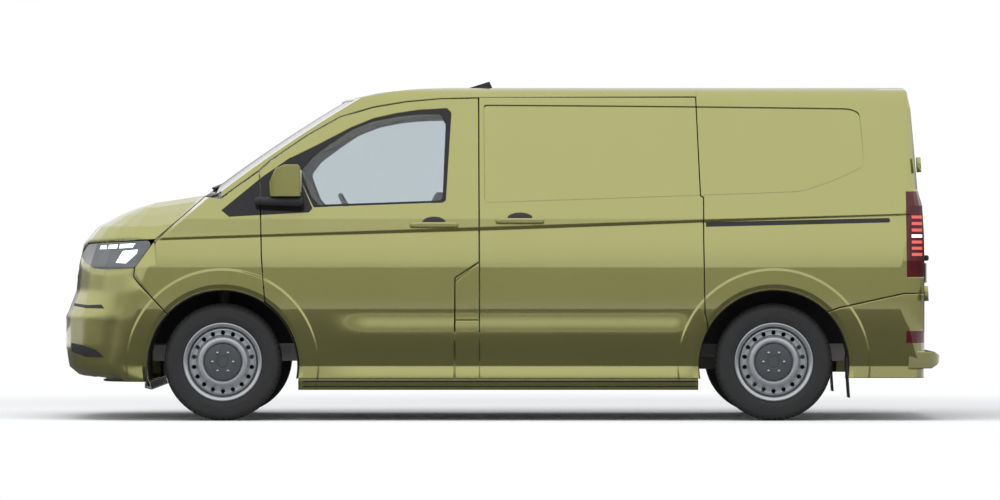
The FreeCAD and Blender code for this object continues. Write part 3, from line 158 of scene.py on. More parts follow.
# %% Lamps
def softbox(name, place, aim, width, height, watts):
    """A large soft lamp pointed at a place."""
    lamp = bpy.data.objects.new(name, bpy.data.lights.new(name, "AREA"))
    bpy.context.scene.collection.objects.link(lamp)
    lamp.data.shape = "RECTANGLE"
    lamp.data.size, lamp.data.size_y = width, height
    lamp.data.energy = watts
    lamp.location = place
    lamp.rotation_euler = (Vector(aim) - Vector(place)).to_track_quat("-Z", "Y").to_euler()
    lamp.visible_glossy = False


softbox("overhead_softbox", place=(-0.5, -2.5, 7.5), aim=(0, 0, 0.8), width=9, height=4, watts=420)
softbox("side_softbox", place=(-3.5, -9.0, 4.5), aim=(0, 0, 1.0), width=7, height=3, watts=160)
print("lamps ready")

# %% Floor
FLOOR_RADIUS = 90
SHADED_TO = 3.2
WHITE_FROM = 7.0
FLOOR_TONE = (0.93, 0.93, 0.93, 1)

bpy.ops.object.select_all(action="DESELECT")
bpy.ops.mesh.primitive_circle_add(vertices=96, radius=FLOOR_RADIUS, fill_type="NGON")
floor = bpy.context.object
floor.name = "studio_floor"
floor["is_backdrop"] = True
ground = bpy.data.materials.new("pale_floor")
ground.use_nodes = True
tree = ground.node_tree
place = tree.nodes.new("ShaderNodeTexCoord")
reach = tree.nodes.new("ShaderNodeVectorMath")
reach.operation = "LENGTH"
tree.links.new(place.outputs["Object"], reach.inputs[0])
white = tree.nodes.new("ShaderNodeEmission")
blend = tree.nodes.new("ShaderNodeMixShader")
matte = tree.nodes["Principled BSDF"]
matte.inputs["Base Color"].default_value = FLOOR_TONE
matte.inputs["Roughness"].default_value = 0.75
matte.inputs["Specular IOR Level"].default_value = 0.2
tree.links.new(eased(tree, reach.outputs["Value"], SHADED_TO, WHITE_FROM), blend.inputs[0])
tree.links.new(matte.outputs[0], blend.inputs[1])
tree.links.new(white.outputs[0], blend.inputs[2])
tree.links.new(blend.outputs[0], tree.nodes["Material Output"].inputs["Surface"])
ground.cycles.emission_sampling = "NONE"
floor.data.materials.append(ground)
print("floor", floor.dimensions.x)

# %% [markdown]
# ### A card and a flag for the reflections
#
# Car paint only looks like paint when it has something to reflect. Photographers stand long cards round
# a car, out of view, and lay dark cloths, called flags, on the floor. Here one band round the studio
# brightens with height, and one dark disc lies just over the floor. Only glossy rays see them, so
# neither is sampled as a lamp.

# %% Reflection card and floor flag
CARD_RADIUS = 42
CARD_HEIGHT = 9
CARD_DARK_AT = -3.6
CARD_BRIGHT_AT = 3.5
CARD_DARKEST = 0.035
FLAG_RADIUS = 11
FLAG_LIFT = 0.004
FLAG_STRENGTH = 0.09


def only_mirrored(piece, name):
    """Shows a piece to glossy rays alone and makes it glow; gives its node tree and the glow."""
    piece.visible_camera = piece.visible_diffuse = False
    piece.visible_transmission = piece.visible_shadow = False
    piece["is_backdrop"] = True
    material = bpy.data.materials.new(name)
    material.use_nodes = True
    tree = material.node_tree
    tree.nodes.remove(tree.nodes["Principled BSDF"])
    glow = tree.nodes.new("ShaderNodeEmission")
    tree.links.new(glow.outputs[0], tree.nodes["Material Output"].inputs["Surface"])
    material.cycles.emission_sampling = "NONE"
    piece.data.materials.append(material)
    return tree, glow


bpy.ops.object.select_all(action="DESELECT")
bpy.ops.mesh.primitive_cylinder_add(vertices=96, radius=CARD_RADIUS, depth=CARD_HEIGHT,
                                    location=(0, 0, CARD_HEIGHT / 2), end_fill_type="NOTHING")
card = bpy.context.object
card.name = "reflection_card"
tree, glow = only_mirrored(card, "grey_card")
place = tree.nodes.new("ShaderNodeTexCoord")
split = tree.nodes.new("ShaderNodeSeparateXYZ")
tree.links.new(place.outputs["Object"], split.inputs[0])
rise = eased(tree, split.outputs["Z"], CARD_DARK_AT, CARD_BRIGHT_AT, CARD_DARKEST, 1.0)
tree.links.new(rise, glow.inputs["Strength"])

bpy.ops.object.select_all(action="DESELECT")
bpy.ops.mesh.primitive_circle_add(vertices=96, radius=FLAG_RADIUS, fill_type="NGON",
                                  location=(0, 0, FLAG_LIFT))
flag = bpy.context.object
flag.name = "floor_flag"
tree, glow = only_mirrored(flag, "dark_flag")
glow.inputs["Strength"].default_value = FLAG_STRENGTH
print("card", card.dimensions.x, "flag", flag.dimensions.x)

# %% [markdown]
# ## Finishes
#
# Each finish is one Principled shader with noise in its colour and its roughness, and in most of them
# in a fine bump, read from Object coordinates, so that no surface is a single flat colour. A small
# helper builds it; constants go straight on the shader's own sockets, where an export keeps them.

# %% A helper for grained finishes
def grained(name, dark, light, scale, rough, bump=0.0, bump_scale=0.0, **sockets):
    """A finish whose colour and roughness wander between two values, with a fine bump in metres."""
    material = bpy.data.materials.new(name)
    material.use_nodes = True
    tree = material.node_tree
    shader = tree.nodes["Principled BSDF"]
    where = tree.nodes.new("ShaderNodeTexCoord")
    noise = tree.nodes.new("ShaderNodeTexNoise")
    noise.inputs["Scale"].default_value = scale
    noise.inputs["Detail"].default_value = 5
    tree.links.new(where.outputs["Object"], noise.inputs["Vector"])
    ramp = tree.nodes.new("ShaderNodeMix")
    ramp.data_type = "RGBA"
    ramp.inputs["A"].default_value = (*dark, 1)
    ramp.inputs["B"].default_value = (*light, 1)
    tree.links.new(noise.outputs["Fac"], ramp.inputs["Factor"])
    tree.links.new(ramp.outputs["Result"], shader.inputs["Base Color"])
    level = tree.nodes.new("ShaderNodeMapRange")
    level.inputs["To Min"].default_value = rough[0]
    level.inputs["To Max"].default_value = rough[1]
    tree.links.new(noise.outputs["Fac"], level.inputs["Value"])
    tree.links.new(level.outputs[0], shader.inputs["Roughness"])
    if bump:
        grain = tree.nodes.new("ShaderNodeTexNoise")
        grain.inputs["Scale"].default_value = bump_scale
        grain.inputs["Detail"].default_value = 3
        tree.links.new(where.outputs["Object"], grain.inputs["Vector"])
        relief = tree.nodes.new("ShaderNodeBump")
        relief.inputs["Distance"].default_value = bump
        relief.inputs["Strength"].default_value = 1.0
        tree.links.new(grain.outputs["Fac"], relief.inputs["Height"])
        tree.links.new(relief.outputs["Normal"], shader.inputs["Normal"])
    for socket, value in sockets.items():
        shader.inputs[socket.replace("_", " ")].default_value = value
    return material


print("finish helper ready")

# %% Plastics, cloth and rubber
finishes = {
    "black_plastic": grained("grained_black_plastic", (0.012, 0.012, 0.013), (0.024, 0.024, 0.026),
                             scale=30, rough=(0.38, 0.52), bump=0.0004, bump_scale=900),
    "gloss_black": grained("gloss_black_trim", (0.008, 0.008, 0.009), (0.014, 0.014, 0.016),
                           scale=14, rough=(0.08, 0.16), Specular_IOR_Level=0.3, Coat_Weight=0.15,
                           Coat_Roughness=0.04),
    "liner_plastic": grained("felted_liner", (0.010, 0.010, 0.010), (0.022, 0.021, 0.020),
                             scale=24, rough=(0.8, 0.95), bump=0.002, bump_scale=220),
    "tank_plastic": grained("tank_plastic", (0.012, 0.012, 0.012), (0.026, 0.025, 0.024),
                            scale=16, rough=(0.5, 0.7), bump=0.001, bump_scale=300),
    "dash_plastic": grained("dash_plastic", (0.030, 0.031, 0.034), (0.045, 0.046, 0.050),
                            scale=18, rough=(0.55, 0.7), bump=0.0006, bump_scale=700),
    "cap_grey": grained("centre_cap_grey", (0.045, 0.05, 0.055), (0.065, 0.07, 0.075),
                        scale=22, rough=(0.35, 0.5), bump=0.0004, bump_scale=700),
    "rubber": grained("tyre_rubber", (0.014, 0.014, 0.015), (0.028, 0.028, 0.029),
                      scale=26, rough=(0.6, 0.8), bump=0.0006, bump_scale=420),
    "seat_fabric": grained("woven_seat_cloth", (0.03, 0.031, 0.034), (0.075, 0.077, 0.083),
                           scale=340, rough=(0.85, 0.97), bump=0.0015, bump_scale=900,
                           Sheen_Weight=0.35),
    "plate_white": grained("blank_plate", (0.62, 0.63, 0.64), (0.70, 0.71, 0.72),
                           scale=10, rough=(0.3, 0.45)),
}
print(len(finishes), "finishes without metal")

# %% Metals
finishes["inner_steel"] = grained("painted_inner_steel", (0.30, 0.30, 0.29), (0.38, 0.38, 0.37),
                                  scale=5, rough=(0.4, 0.55), bump=0.0004, bump_scale=160)
finishes["chassis_steel"] = grained("black_chassis_steel", (0.025, 0.025, 0.025), (0.055, 0.052, 0.048),
                                    scale=12, rough=(0.45, 0.7), bump=0.001, bump_scale=200,
                                    Metallic=0.3)
finishes["cast_iron"] = grained("cast_iron", (0.09, 0.085, 0.08), (0.20, 0.17, 0.15),
                                scale=14, rough=(0.5, 0.75), bump=0.002, bump_scale=260, Metallic=0.7)
finishes["engine_block"] = grained("engine_block", (0.14, 0.14, 0.14), (0.24, 0.24, 0.23),
                                   scale=9, rough=(0.45, 0.65), bump=0.002, bump_scale=120,
                                   Metallic=0.6)
finishes["wheel_silver"] = grained("wheel_silver_paint", (0.44, 0.46, 0.48), (0.56, 0.58, 0.60),
                                   scale=9, rough=(0.28, 0.38), bump=0.0002, bump_scale=900,
                                   Metallic=0.75, Coat_Weight=0.4, Coat_Roughness=0.1)
finishes["bright_steel"] = grained("bright_steel", (0.55, 0.55, 0.55), (0.7, 0.7, 0.7),
                                   scale=12, rough=(0.2, 0.35), Metallic=1.0)
print(len(finishes), "finishes so far")

# %% [markdown]
# ## Glass and lamps
#
# The panes are solids a few millimetres thick, so a Principled shader with full transmission tints the
# light where it enters and where it leaves. The lamp covers are opaque here: nothing lies behind them
# in the solids, so they are a dark coated surface, and the parts that shine lie just proud of it and
# carry a little emission of their own.

# %% Panes, covers and lit parts
def pane(name, tint):
    """Tinted clear material for a pane."""
    material = grained(name, tint, [min(1, c * 1.03) for c in tint], scale=3, rough=(0.01, 0.025))
    shader = material.node_tree.nodes["Principled BSDF"]
    shader.inputs["Transmission Weight"].default_value = 1
    shader.inputs["IOR"].default_value = 1.45
    return material


def glowing(name, color, strength):
    """A lamp's lit part: pale plastic with some light of its own."""
    material = grained(name, [c * 0.9 for c in color], color, scale=60, rough=(0.2, 0.3))
    shader = material.node_tree.nodes["Principled BSDF"]
    shader.inputs["Emission Color"].default_value = (*color, 1)
    shader.inputs["Emission Strength"].default_value = strength
    return material


finishes["side_glass"] = pane("side_glass", (0.65, 0.70, 0.725))
finishes["windscreen_glass"] = pane("windscreen_glass", (0.72, 0.79, 0.80))
finishes["rear_glass"] = pane("rear_glass", (0.30, 0.33, 0.35))
finishes["lamp_clear"] = grained("headlamp_bowl", (0.045, 0.05, 0.055), (0.16, 0.17, 0.18),
                                 scale=9, rough=(0.12, 0.2), Metallic=0.6, Coat_Weight=1.0,
                                 Coat_Roughness=0.02)
finishes["lamp_red"] = grained("tail_lamp_red", (0.055, 0.004, 0.009), (0.095, 0.006, 0.011),
                               scale=16, rough=(0.08, 0.14), Specular_IOR_Level=0.35,
                               Coat_Weight=0.35, Coat_Roughness=0.03)
finishes["lit_white"] = glowing("lit_white", (0.95, 0.97, 1.0), 0.9)
finishes["lit_red"] = glowing("lit_red", (0.75, 0.11, 0.09), 0.35)
print(len(finishes), "finishes with glass and lamps")

# %% [markdown]
# ## Car paint with pressed lines
#
# Olive paint is a metallic base under a clear coat. The shallow pressings (the long recessed field of
# each side, the steps round the wheel arches, the long swelling low on each side, the roof ribs) are at
# most 17 millimetres deep. They could be cut into the panels, but heights in the paint's bump shade them
# just as well and keep the CAD panels as they are. The heights are built from distances to lines in the
# side view, whose outlines are given in the picture's pixels. A Bevel node rounds the shading of edges,
# more so on the nose, whose solid is made of flat strips.

# %% Places in the side view
MM_PER_PIXEL = 5.62
MIDDLE_PIXEL = 500
MIDDLE_MM = 5
GROUND_PIXEL = 420.8


def seen(px, py):
    """A place on the near side of the van from its place in the picture, in metres."""
    return ((MIDDLE_MM + (px - MIDDLE_PIXEL) * MM_PER_PIXEL) / 1000,
            (GROUND_PIXEL - py) * MM_PER_PIXEL / 1000)


def outside_of(tree, x, z, corners, softness):
    """How far a place is outside a convex outline in the side view."""
    middle_x = sum(p[0] for p in corners) / len(corners)
    middle_z = sum(p[1] for p in corners) / len(corners)
    far = None
    for (x0, z0), (x1, z1) in zip(corners, corners[1:] + corners[:1]):
        run = math.hypot(x1 - x0, z1 - z0)
        nx, nz = (z1 - z0) / run, (x0 - x1) / run
        if nx * (middle_x - x0) + nz * (middle_z - z0) > 0:
            nx, nz = -nx, -nz
        offset = -(nx * x0 + nz * z0)
        side = sum_of(tree, "MULTIPLY_ADD", x, nx, sum_of(tree, "MULTIPLY_ADD", z, nz, offset))
        far = side if far is None else sum_of(tree, "SMOOTH_MAX", far, side, softness)
    return far


def stepped(tree, value, steps, height=None):
    """Adds up eased steps, each given as where it begins, where it is full and how high it is."""
    for begins, full, rise in steps:
        step = sum_of(tree, "MULTIPLY", eased(tree, value, begins, full), rise)
        height = step if height is None else sum_of(tree, "ADD", height, step)
    return height


print("side view scale", seen(501, 0)[0] - seen(500, 0)[0])

# %% The pressings, in metres
# A step says where it begins, where it is full, and how high it is; a pair says only the first two.
FIELD = [seen(*p) for p in ((483.6, 104.6), (690, 105.4), (852, 108.2), (860.5, 113), (864.8, 159.5),
                            (863.9, 166.4), (845, 176.8), (800.2, 192.3), (690, 196.6), (484.5, 203))]
FIELD_CORNER = 0.03
FIELD_STEP = (0.004, -0.006, -0.007)
ARCHES = ((-1.555, 0.312), (1.545, 0.312))
ARCH_STEPS = ((0.546, 0.532, 0.009), (0.456, 0.430, -0.012))
FLANK_STEPS = ((0.615, 0.475, 0.017), (0.455, 0.335, -0.016), (0.325, 0.245, 0.004))
FLANK_FRONT = (-1.02, -0.72)
FLANK_REAR = (1.12, 0.98)
RIB_PITCH = 0.26
RIB_SIDES = (0.55, 0.9)
RIB_HEIGHT = 0.006
RIBS_ABOVE = (1.845, 1.862)
RIBS_FRONT = (-0.50, -0.42)
RIBS_REAR = (2.16, 2.10)
EDGE_RADIUS = 0.008
NOSE_RADIUS_MORE = 0.045
NOSE = (-1.95, -2.10)
print("recessed field from", FIELD[0], "to", FIELD[4])

# %% The paint
def olive_paint():
    """Metallic olive under a clear coat, with the pressed lines of the sides and the roof."""
    material = grained("olive_metallic_paint", (0.405, 0.400, 0.142), (0.440, 0.434, 0.160),
                       scale=2.5, rough=(0.20, 0.25), Metallic=0.90, Coat_Weight=1.0,
                       Coat_Roughness=0.03)
    tree = material.node_tree
    shader = tree.nodes["Principled BSDF"]
    where = tree.nodes.new("ShaderNodeTexCoord")
    split = tree.nodes.new("ShaderNodeSeparateXYZ")
    tree.links.new(where.outputs["Object"], split.inputs[0])
    x, y, z = split.outputs
    height = stepped(tree, outside_of(tree, x, z, FIELD, FIELD_CORNER), [FIELD_STEP])
    for arch_x, arch_z in ARCHES:
        dx = sum_of(tree, "SUBTRACT", x, arch_x)
        dz = sum_of(tree, "SUBTRACT", z, arch_z)
        away = sum_of(tree, "SQRT", sum_of(tree, "ADD", sum_of(tree, "MULTIPLY", dx, dx),
                                           sum_of(tree, "MULTIPLY", dz, dz)))
        height = stepped(tree, away, ARCH_STEPS, height)
    flank = stepped(tree, z, FLANK_STEPS)
    between_wheels = sum_of(tree, "MULTIPLY", eased(tree, x, *FLANK_FRONT), eased(tree, x, *FLANK_REAR))
    height = sum_of(tree, "ADD", height, sum_of(tree, "MULTIPLY", flank, between_wheels))
    wave = sum_of(tree, "COSINE", sum_of(tree, "MULTIPLY", y, 2 * math.pi / RIB_PITCH))
    ribs = eased(tree, wave, *RIB_SIDES)
    roof = sum_of(tree, "MULTIPLY", eased(tree, z, *RIBS_ABOVE), eased(tree, x, *RIBS_FRONT))
    roof = sum_of(tree, "MULTIPLY", roof, eased(tree, x, *RIBS_REAR))
    ribs = sum_of(tree, "MULTIPLY", sum_of(tree, "MULTIPLY", ribs, roof), RIB_HEIGHT)
    height = sum_of(tree, "ADD", height, ribs)
    rounded = tree.nodes.new("ShaderNodeBevel")
    rounded.samples = 6
    radius = sum_of(tree, "MULTIPLY_ADD", eased(tree, x, *NOSE), NOSE_RADIUS_MORE, EDGE_RADIUS)
    tree.links.new(radius, rounded.inputs["Radius"])
    relief = tree.nodes.new("ShaderNodeBump")
    relief.inputs["Distance"].default_value = 1.0
    relief.inputs["Strength"].default_value = 1.0
    tree.links.new(rounded.outputs["Normal"], relief.inputs["Normal"])
    tree.links.new(height, relief.inputs["Height"])
    tree.links.new(relief.outputs["Normal"], shader.inputs["Normal"])
    tree.links.new(relief.outputs["Normal"], shader.inputs["Coat Normal"])
    return material


finishes["paint"] = olive_paint()
print("paint nodes", len(finishes["paint"].node_tree.nodes))

# %% Every CAD node takes the finish of its slot
slot_of = {row["node"]: row["material_slot"] for row in frame["record"]["subparts"]}
for name, node in nodes.items():
    node.data.materials.clear()
    node.data.materials.append(finishes[slot_of[name]])
print(len(nodes), "CAD nodes dressed")

# %% [markdown]
# ## Tools for the new pieces
#
# Everything below starts from a primitive, or from a copy of a CAD panel, and is shaped by operators.
# A wheel's parts are rings, so one helper carries a circle along a profile by extruding and resizing
# it. Trims follow the CAD panels exactly, so they are cut from copies of them with an outline prism and
# lifted off by one to four millimetres. Each finished piece has its origin at the world's and its place
# in its mesh.

# %% Start, settle and place a piece
SMOOTH_BELOW = 32


def alone(piece):
    """Leaves one object selected and active, in object mode."""
    if bpy.context.object and bpy.context.object.mode != "OBJECT":
        bpy.ops.object.mode_set(mode="OBJECT")
    bpy.ops.object.select_all(action="DESELECT")
    piece.select_set(True)
    bpy.context.view_layer.objects.active = piece


def edit_all(piece):
    """Opens one piece in edit mode with its whole mesh selected."""
    alone(piece)
    bpy.ops.object.mode_set(mode="EDIT")
    bpy.ops.mesh.select_all(action="SELECT")


def start(kind, name, **how):
    """A new primitive at its size and place."""
    if bpy.context.object and bpy.context.object.mode != "OBJECT":
        bpy.ops.object.mode_set(mode="OBJECT")
    bpy.ops.object.select_all(action="DESELECT")
    getattr(bpy.ops.mesh, "primitive_%s_add" % kind)(**how)
    piece = bpy.context.object
    piece.name = name
    return piece


def modify(piece, kind, **settings):
    """Adds a modifier and applies it at once."""
    alone(piece)
    modifier = piece.modifiers.new(kind.lower(), kind)
    for key, value in settings.items():
        setattr(modifier, key, value)
    bpy.ops.object.modifier_apply(modifier=modifier.name)
    return piece


def placed(piece, finish, body, stands_for=(), smooth_below=SMOOTH_BELOW):
    """Puts the place into the mesh, shades it, gives it its finish and lets it ride on a body."""
    alone(piece)
    bpy.ops.object.transform_apply(location=True, rotation=True, scale=True)
    bpy.ops.object.shade_smooth_by_angle(angle=math.radians(smooth_below))
    piece.data.materials.clear()
    piece.data.materials.append(finishes[finish])
    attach(piece, body)
    if stands_for:
        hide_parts(*stands_for)


print("pieces within", SMOOTH_BELOW, "degrees shade as one")

# %% Copies, joins and boxes
def freed(piece):
    """Takes a copy off the body that its model rides on."""
    for key in list(piece.keys()):
        del piece[key]
    piece.parent = None
    return piece


def copied(piece, name, move, half_turn):
    """A copy with its own mesh, moved, or first turned half round about the upright axis."""
    alone(piece)
    bpy.ops.object.duplicate()
    twin = freed(bpy.context.object)
    twin.name = name
    twin.rotation_euler = (0, 0, math.pi if half_turn else 0)
    twin.location = move
    bpy.ops.object.transform_apply(location=True, rotation=True, scale=True)
    return twin


def joined(pieces):
    """Joins all pieces into the first of them."""
    alone(pieces[0])
    for piece in pieces[1:]:
        piece.select_set(True)
    bpy.ops.object.join()
    return pieces[0]


def sized_cube(name, place, size, turn=(0, 0, 0)):
    """A cube with its size, and its turn if it has one, in its mesh, and its place still on it."""
    piece = start("cube", name, size=1, location=place)
    piece.scale = size
    piece.rotation_euler = turn
    bpy.ops.object.transform_apply(location=False, rotation=True, scale=True)
    return piece


def rounded_box(name, place, size, radius, segments=3, turn=(0, 0, 0)):
    """A cube at its size and place with rounded edges."""
    return modify(sized_cube(name, place, size, turn), "BEVEL", width=radius, segments=segments)


print("copies and boxes ready")

# %% Rings
HUB = (-1.555, -0.865, 0.33)
AXLE_TURN = (math.radians(90), 0, 0)
RING_STEPS = 96
RING_MERGE = 0.0007


def turned(name, profile, steps=RING_STEPS):
    """A closed ring about the front left axle, from (how far outwards, radius) pairs."""
    x, y, z = HUB
    out, radius = profile[0]
    piece = start("circle", name, vertices=steps, radius=radius, location=(x, y - out, z),
                  rotation=AXLE_TURN)
    edit_all(piece)
    for (out0, radius0), (out1, radius1) in zip(profile, profile[1:] + profile[:1]):
        outwards = (0, out0 - out1, 0)
        bpy.ops.mesh.extrude_edges_move(TRANSFORM_OT_translate={"value": outwards})
        ratio = radius1 / radius0
        bpy.ops.transform.resize(value=(ratio, 1, ratio), center_override=(x, y - out1, z))
    bpy.ops.mesh.select_all(action="SELECT")
    bpy.ops.mesh.remove_doubles(threshold=RING_MERGE)
    bpy.ops.mesh.normals_make_consistent(inside=False)
    bpy.ops.object.mode_set(mode="OBJECT")
    bpy.ops.object.transform_apply(location=True, rotation=True, scale=True)
    return piece


print("rings ready")

# %% Prisms and trims
CAD_MERGE = 0.00002


def prism(corners, start_at, end_at, across="Y"):
    """An outline carried across the van (corners in x, z) or along it (corners in y, z)."""
    piece = start("circle", "cutter", vertices=len(corners), radius=1, fill_type="NGON")
    for vertex, (a, b) in zip(piece.data.vertices, corners):
        vertex.co = (a, start_at, b) if across == "Y" else (start_at, a, b)
    edit_all(piece)
    run = end_at - start_at
    move = (0, run, 0) if across == "Y" else (run, 0, 0)
    bpy.ops.mesh.extrude_region_move(TRANSFORM_OT_translate={"value": move})
    bpy.ops.mesh.select_all(action="SELECT")
    bpy.ops.mesh.normals_make_consistent(inside=False)
    bpy.ops.object.mode_set(mode="OBJECT")
    return piece


def cad_copy(node, name):
    """A merged copy of a CAD panel that can be cut."""
    twin = freed(nodes[node].copy())
    twin.data = nodes[node].data.copy()
    twin.name = name
    bpy.context.scene.collection.objects.link(twin)
    alone(twin)
    bpy.ops.mesh.customdata_custom_splitnormals_clear()
    edit_all(twin)
    bpy.ops.mesh.remove_doubles(threshold=CAD_MERGE)
    bpy.ops.object.mode_set(mode="OBJECT")
    return twin


def cut(piece, tool, operation):
    """Keeps what is common with the tool, or what is left without it; the tool is used up."""
    modify(piece, "BOOLEAN", object=tool, operation=operation, solver="EXACT")
    bpy.data.objects.remove(tool)
    return piece


def lifted(piece, lift):
    """Moves the whole mesh of a piece off what it was cut from."""
    edit_all(piece)
    bpy.ops.transform.translate(value=lift)
    bpy.ops.object.mode_set(mode="OBJECT")
    return piece


def trim_of(node, name, corners, lift, reach, across="Y"):
    """The part of a CAD panel inside an outline, lifted off the panel."""
    return lifted(cut(cad_copy(node, name), prism(corners, *reach, across), "INTERSECT"), lift)


print("prisms and trims ready")

# %% [markdown]
# ## Tyres
#
# A road tyre is a closed ring: beads, bulging sidewalls, a tread with grooves round it, and cross
# grooves in the shoulders. The section is carried round the axle once; then faces of the shoulder are
# picked by their place and pressed in for the cross grooves. The other three tyres are copies.

# %% One tyre
HALF_SECTION = [(0.0095, 0.3300), (0.0105, 0.3235), (0.0195, 0.3235), (0.0205, 0.3299), (0.0505, 0.3296),
                (0.0515, 0.3230), (0.0605, 0.3230), (0.0615, 0.3290), (0.0790, 0.3270), (0.0900, 0.3215),
                (0.0980, 0.3130), (0.1030, 0.3050), (0.1040, 0.3045), (0.1062, 0.2960), (0.1075, 0.2700),
                (0.1060, 0.2500), (0.1050, 0.2495), (0.1010, 0.2320), (0.0960, 0.2220), (0.0880, 0.2060)]
TYRE_STEPS = 180
SHOULDER = (0.062, 0.097)
SHOULDER_RADIUS = 0.31
GROOVE_EVERY = 3
GROOVE_DEPTH = 0.005

section = HALF_SECTION + [(-a, r) for a, r in reversed(HALF_SECTION)]
tyre = turned("tyre_front_left_tread", section, TYRE_STEPS)
bpy.ops.object.mode_set(mode="EDIT")
bpy.ops.mesh.select_all(action="DESELECT")
bpy.ops.object.mode_set(mode="OBJECT")
pressed = 0
for face in tyre.data.polygons:
    dx, dy, dz = face.center.x - HUB[0], abs(face.center.y - HUB[1]), face.center.z - HUB[2]
    step = round(math.degrees(math.atan2(dz, dx)) * TYRE_STEPS / 360 - 0.5)
    on_shoulder = SHOULDER[0] < dy < SHOULDER[1] and math.hypot(dx, dz) > SHOULDER_RADIUS
    face.select = on_shoulder and step % GROOVE_EVERY == 0
    pressed += face.select
bpy.ops.object.mode_set(mode="EDIT")
bpy.ops.mesh.extrude_region_shrink_fatten(TRANSFORM_OT_shrink_fatten={"value": -GROOVE_DEPTH})
bpy.ops.object.mode_set(mode="OBJECT")
print("tyre", len(tyre.data.polygons), "faces,", pressed, "pressed in")

# %% [markdown]
# ## Pressed steel wheels
#
# The photo shows a plain steel wheel: a bright rolled flange, a dished disc with a ring of round holes,
# a domed ring, and a dark cap with nuts and shallow radial creases. The disc is a turned sheet with its
# thickness in its profile, bored by a ring of cylinders. The cap's creases are faces pressed in.

# %% Barrel and disc
BARREL_LINE = [(-0.095, 0.2065), (0.088, 0.2065), (0.0905, 0.2190), (0.0960, 0.2212), (0.1010, 0.2195),
               (0.1020, 0.2150), (0.0980, 0.2090), (0.0930, 0.2020), (0.0800, 0.1985), (0.0450, 0.1960),
               (-0.0600, 0.1900), (-0.0900, 0.1950)]
DISC_LINE = [(0.036, 0.1970), (0.0500, 0.1905), (0.0560, 0.1860), (0.0570, 0.1800), (0.0500, 0.1765),
             (0.0490, 0.1640), (0.0500, 0.1540), (0.0560, 0.1475), (0.0680, 0.1430), (0.0760, 0.1370),
             (0.0790, 0.1270), (0.0780, 0.1160), (0.0730, 0.1100), (0.0620, 0.1060), (0.0590, 0.0980),
             (0.0590, 0.0400)]
SHEET = 0.005
DISC_STEPS = 108

barrel = turned("wheel_barrel", BARREL_LINE)
disc = turned("wheel_disc", DISC_LINE + [(a - SHEET, r) for a, r in reversed(DISC_LINE)], DISC_STEPS)
print("barrel", len(barrel.data.polygons), "disc", len(disc.data.polygons))

# %% Holes
HOLES = 18
HOLE_RADIUS = 0.0125
HOLE_CIRCLE = 0.1645
FIRST_HOLE = 10


def on_wheel(radius, degrees, out):
    """A place on the outer face of the front left wheel."""
    angle = math.radians(degrees)
    return (HUB[0] + radius * math.cos(angle), HUB[1] - out, HUB[2] + radius * math.sin(angle))


drills = []
for k in range(HOLES):
    where = on_wheel(HOLE_CIRCLE, 360 / HOLES * k + FIRST_HOLE, 0.05)
    drills.append(start("cylinder", "drill", vertices=20, radius=HOLE_RADIUS, depth=0.12,
                        rotation=AXLE_TURN, location=where))
cut(disc, joined(drills), "DIFFERENCE")
joined([barrel, disc])
barrel.name = "pressed_wheel_front_left"
print("wheel", len(barrel.data.polygons))

# %% Centre cap
CAP_LINE = [(0.060, 0.1055), (0.068, 0.1045), (0.0725, 0.1010), (0.0755, 0.0900), (0.0765, 0.0400),
            (0.0745, 0.0370), (0.0745, 0.0300), (0.0785, 0.0270), (0.0785, 0.0003), (0.050, 0.0003),
            (0.050, 0.1055)]
CREASES_APART = 60
CREASE_HALF = 2.6
CREASE_REACH = (0.04, 0.098)
CREASE_DEPTH = 0.003

cap = turned("wheel_cap", CAP_LINE)
for face in cap.data.polygons:
    dx, dz = face.center.x - HUB[0], face.center.z - HUB[2]
    turn = math.degrees(math.atan2(dz, dx)) % CREASES_APART
    in_reach = CREASE_REACH[0] < math.hypot(dx, dz) < CREASE_REACH[1]
    face.select = abs(turn - CREASES_APART / 2) < CREASE_HALF and in_reach and face.normal.y < -0.7
alone(cap)
bpy.ops.object.mode_set(mode="EDIT")
bpy.ops.mesh.select_mode(type="FACE")
bpy.ops.mesh.extrude_region_shrink_fatten(TRANSFORM_OT_shrink_fatten={"value": -CREASE_DEPTH})
bpy.ops.object.mode_set(mode="OBJECT")
cap.name = "cap_front_left"
print("cap", len(cap.data.polygons))

# %% Nuts
NUTS = 6
NUT_CIRCLE = 0.0585
NUT_OUT = 0.0765
NUT_RADIUS = 0.0085
NUT_LENGTH = 0.012

nuts = []
for k in range(NUTS):
    nut = start("cylinder", "nut", vertices=6, radius=NUT_RADIUS, depth=NUT_LENGTH, rotation=AXLE_TURN,
                location=on_wheel(NUT_CIRCLE, 360 / NUTS * k, NUT_OUT))
    nuts.append(modify(nut, "BEVEL", width=0.0015, segments=2))
nuts = joined(nuts)
bpy.ops.object.transform_apply(location=True, rotation=True, scale=True)
nuts.name = "nuts_front_left"
print("nuts", len(nuts.data.polygons))

# %% Four wheels from one
WHEELBASE = 3.1
SIDES = (("left", -1), ("right", 1))

for place, shift in (("front", 0.0), ("rear", WHEELBASE)):
    for name, side in SIDES:
        where = "%s_%s" % (place, name)
        body = "wheel_" + where
        move = (2 * HUB[0] + shift, 0, 0) if side > 0 else (shift, 0, 0)
        wheel = (tyre, barrel, cap, nuts)
        if where != "front_left":
            wheel = [copied(piece, piece.name.replace("front_left", where), move, side > 0)
                     for piece in wheel]
        placed(wheel[0], "rubber", body, ["tyre_" + where])
        placed(wheel[1], "wheel_silver", body, ["rim_" + where])
        placed(wheel[2], "cap_grey", body)
        placed(wheel[3], "bright_steel", body)
print("wheels placed")

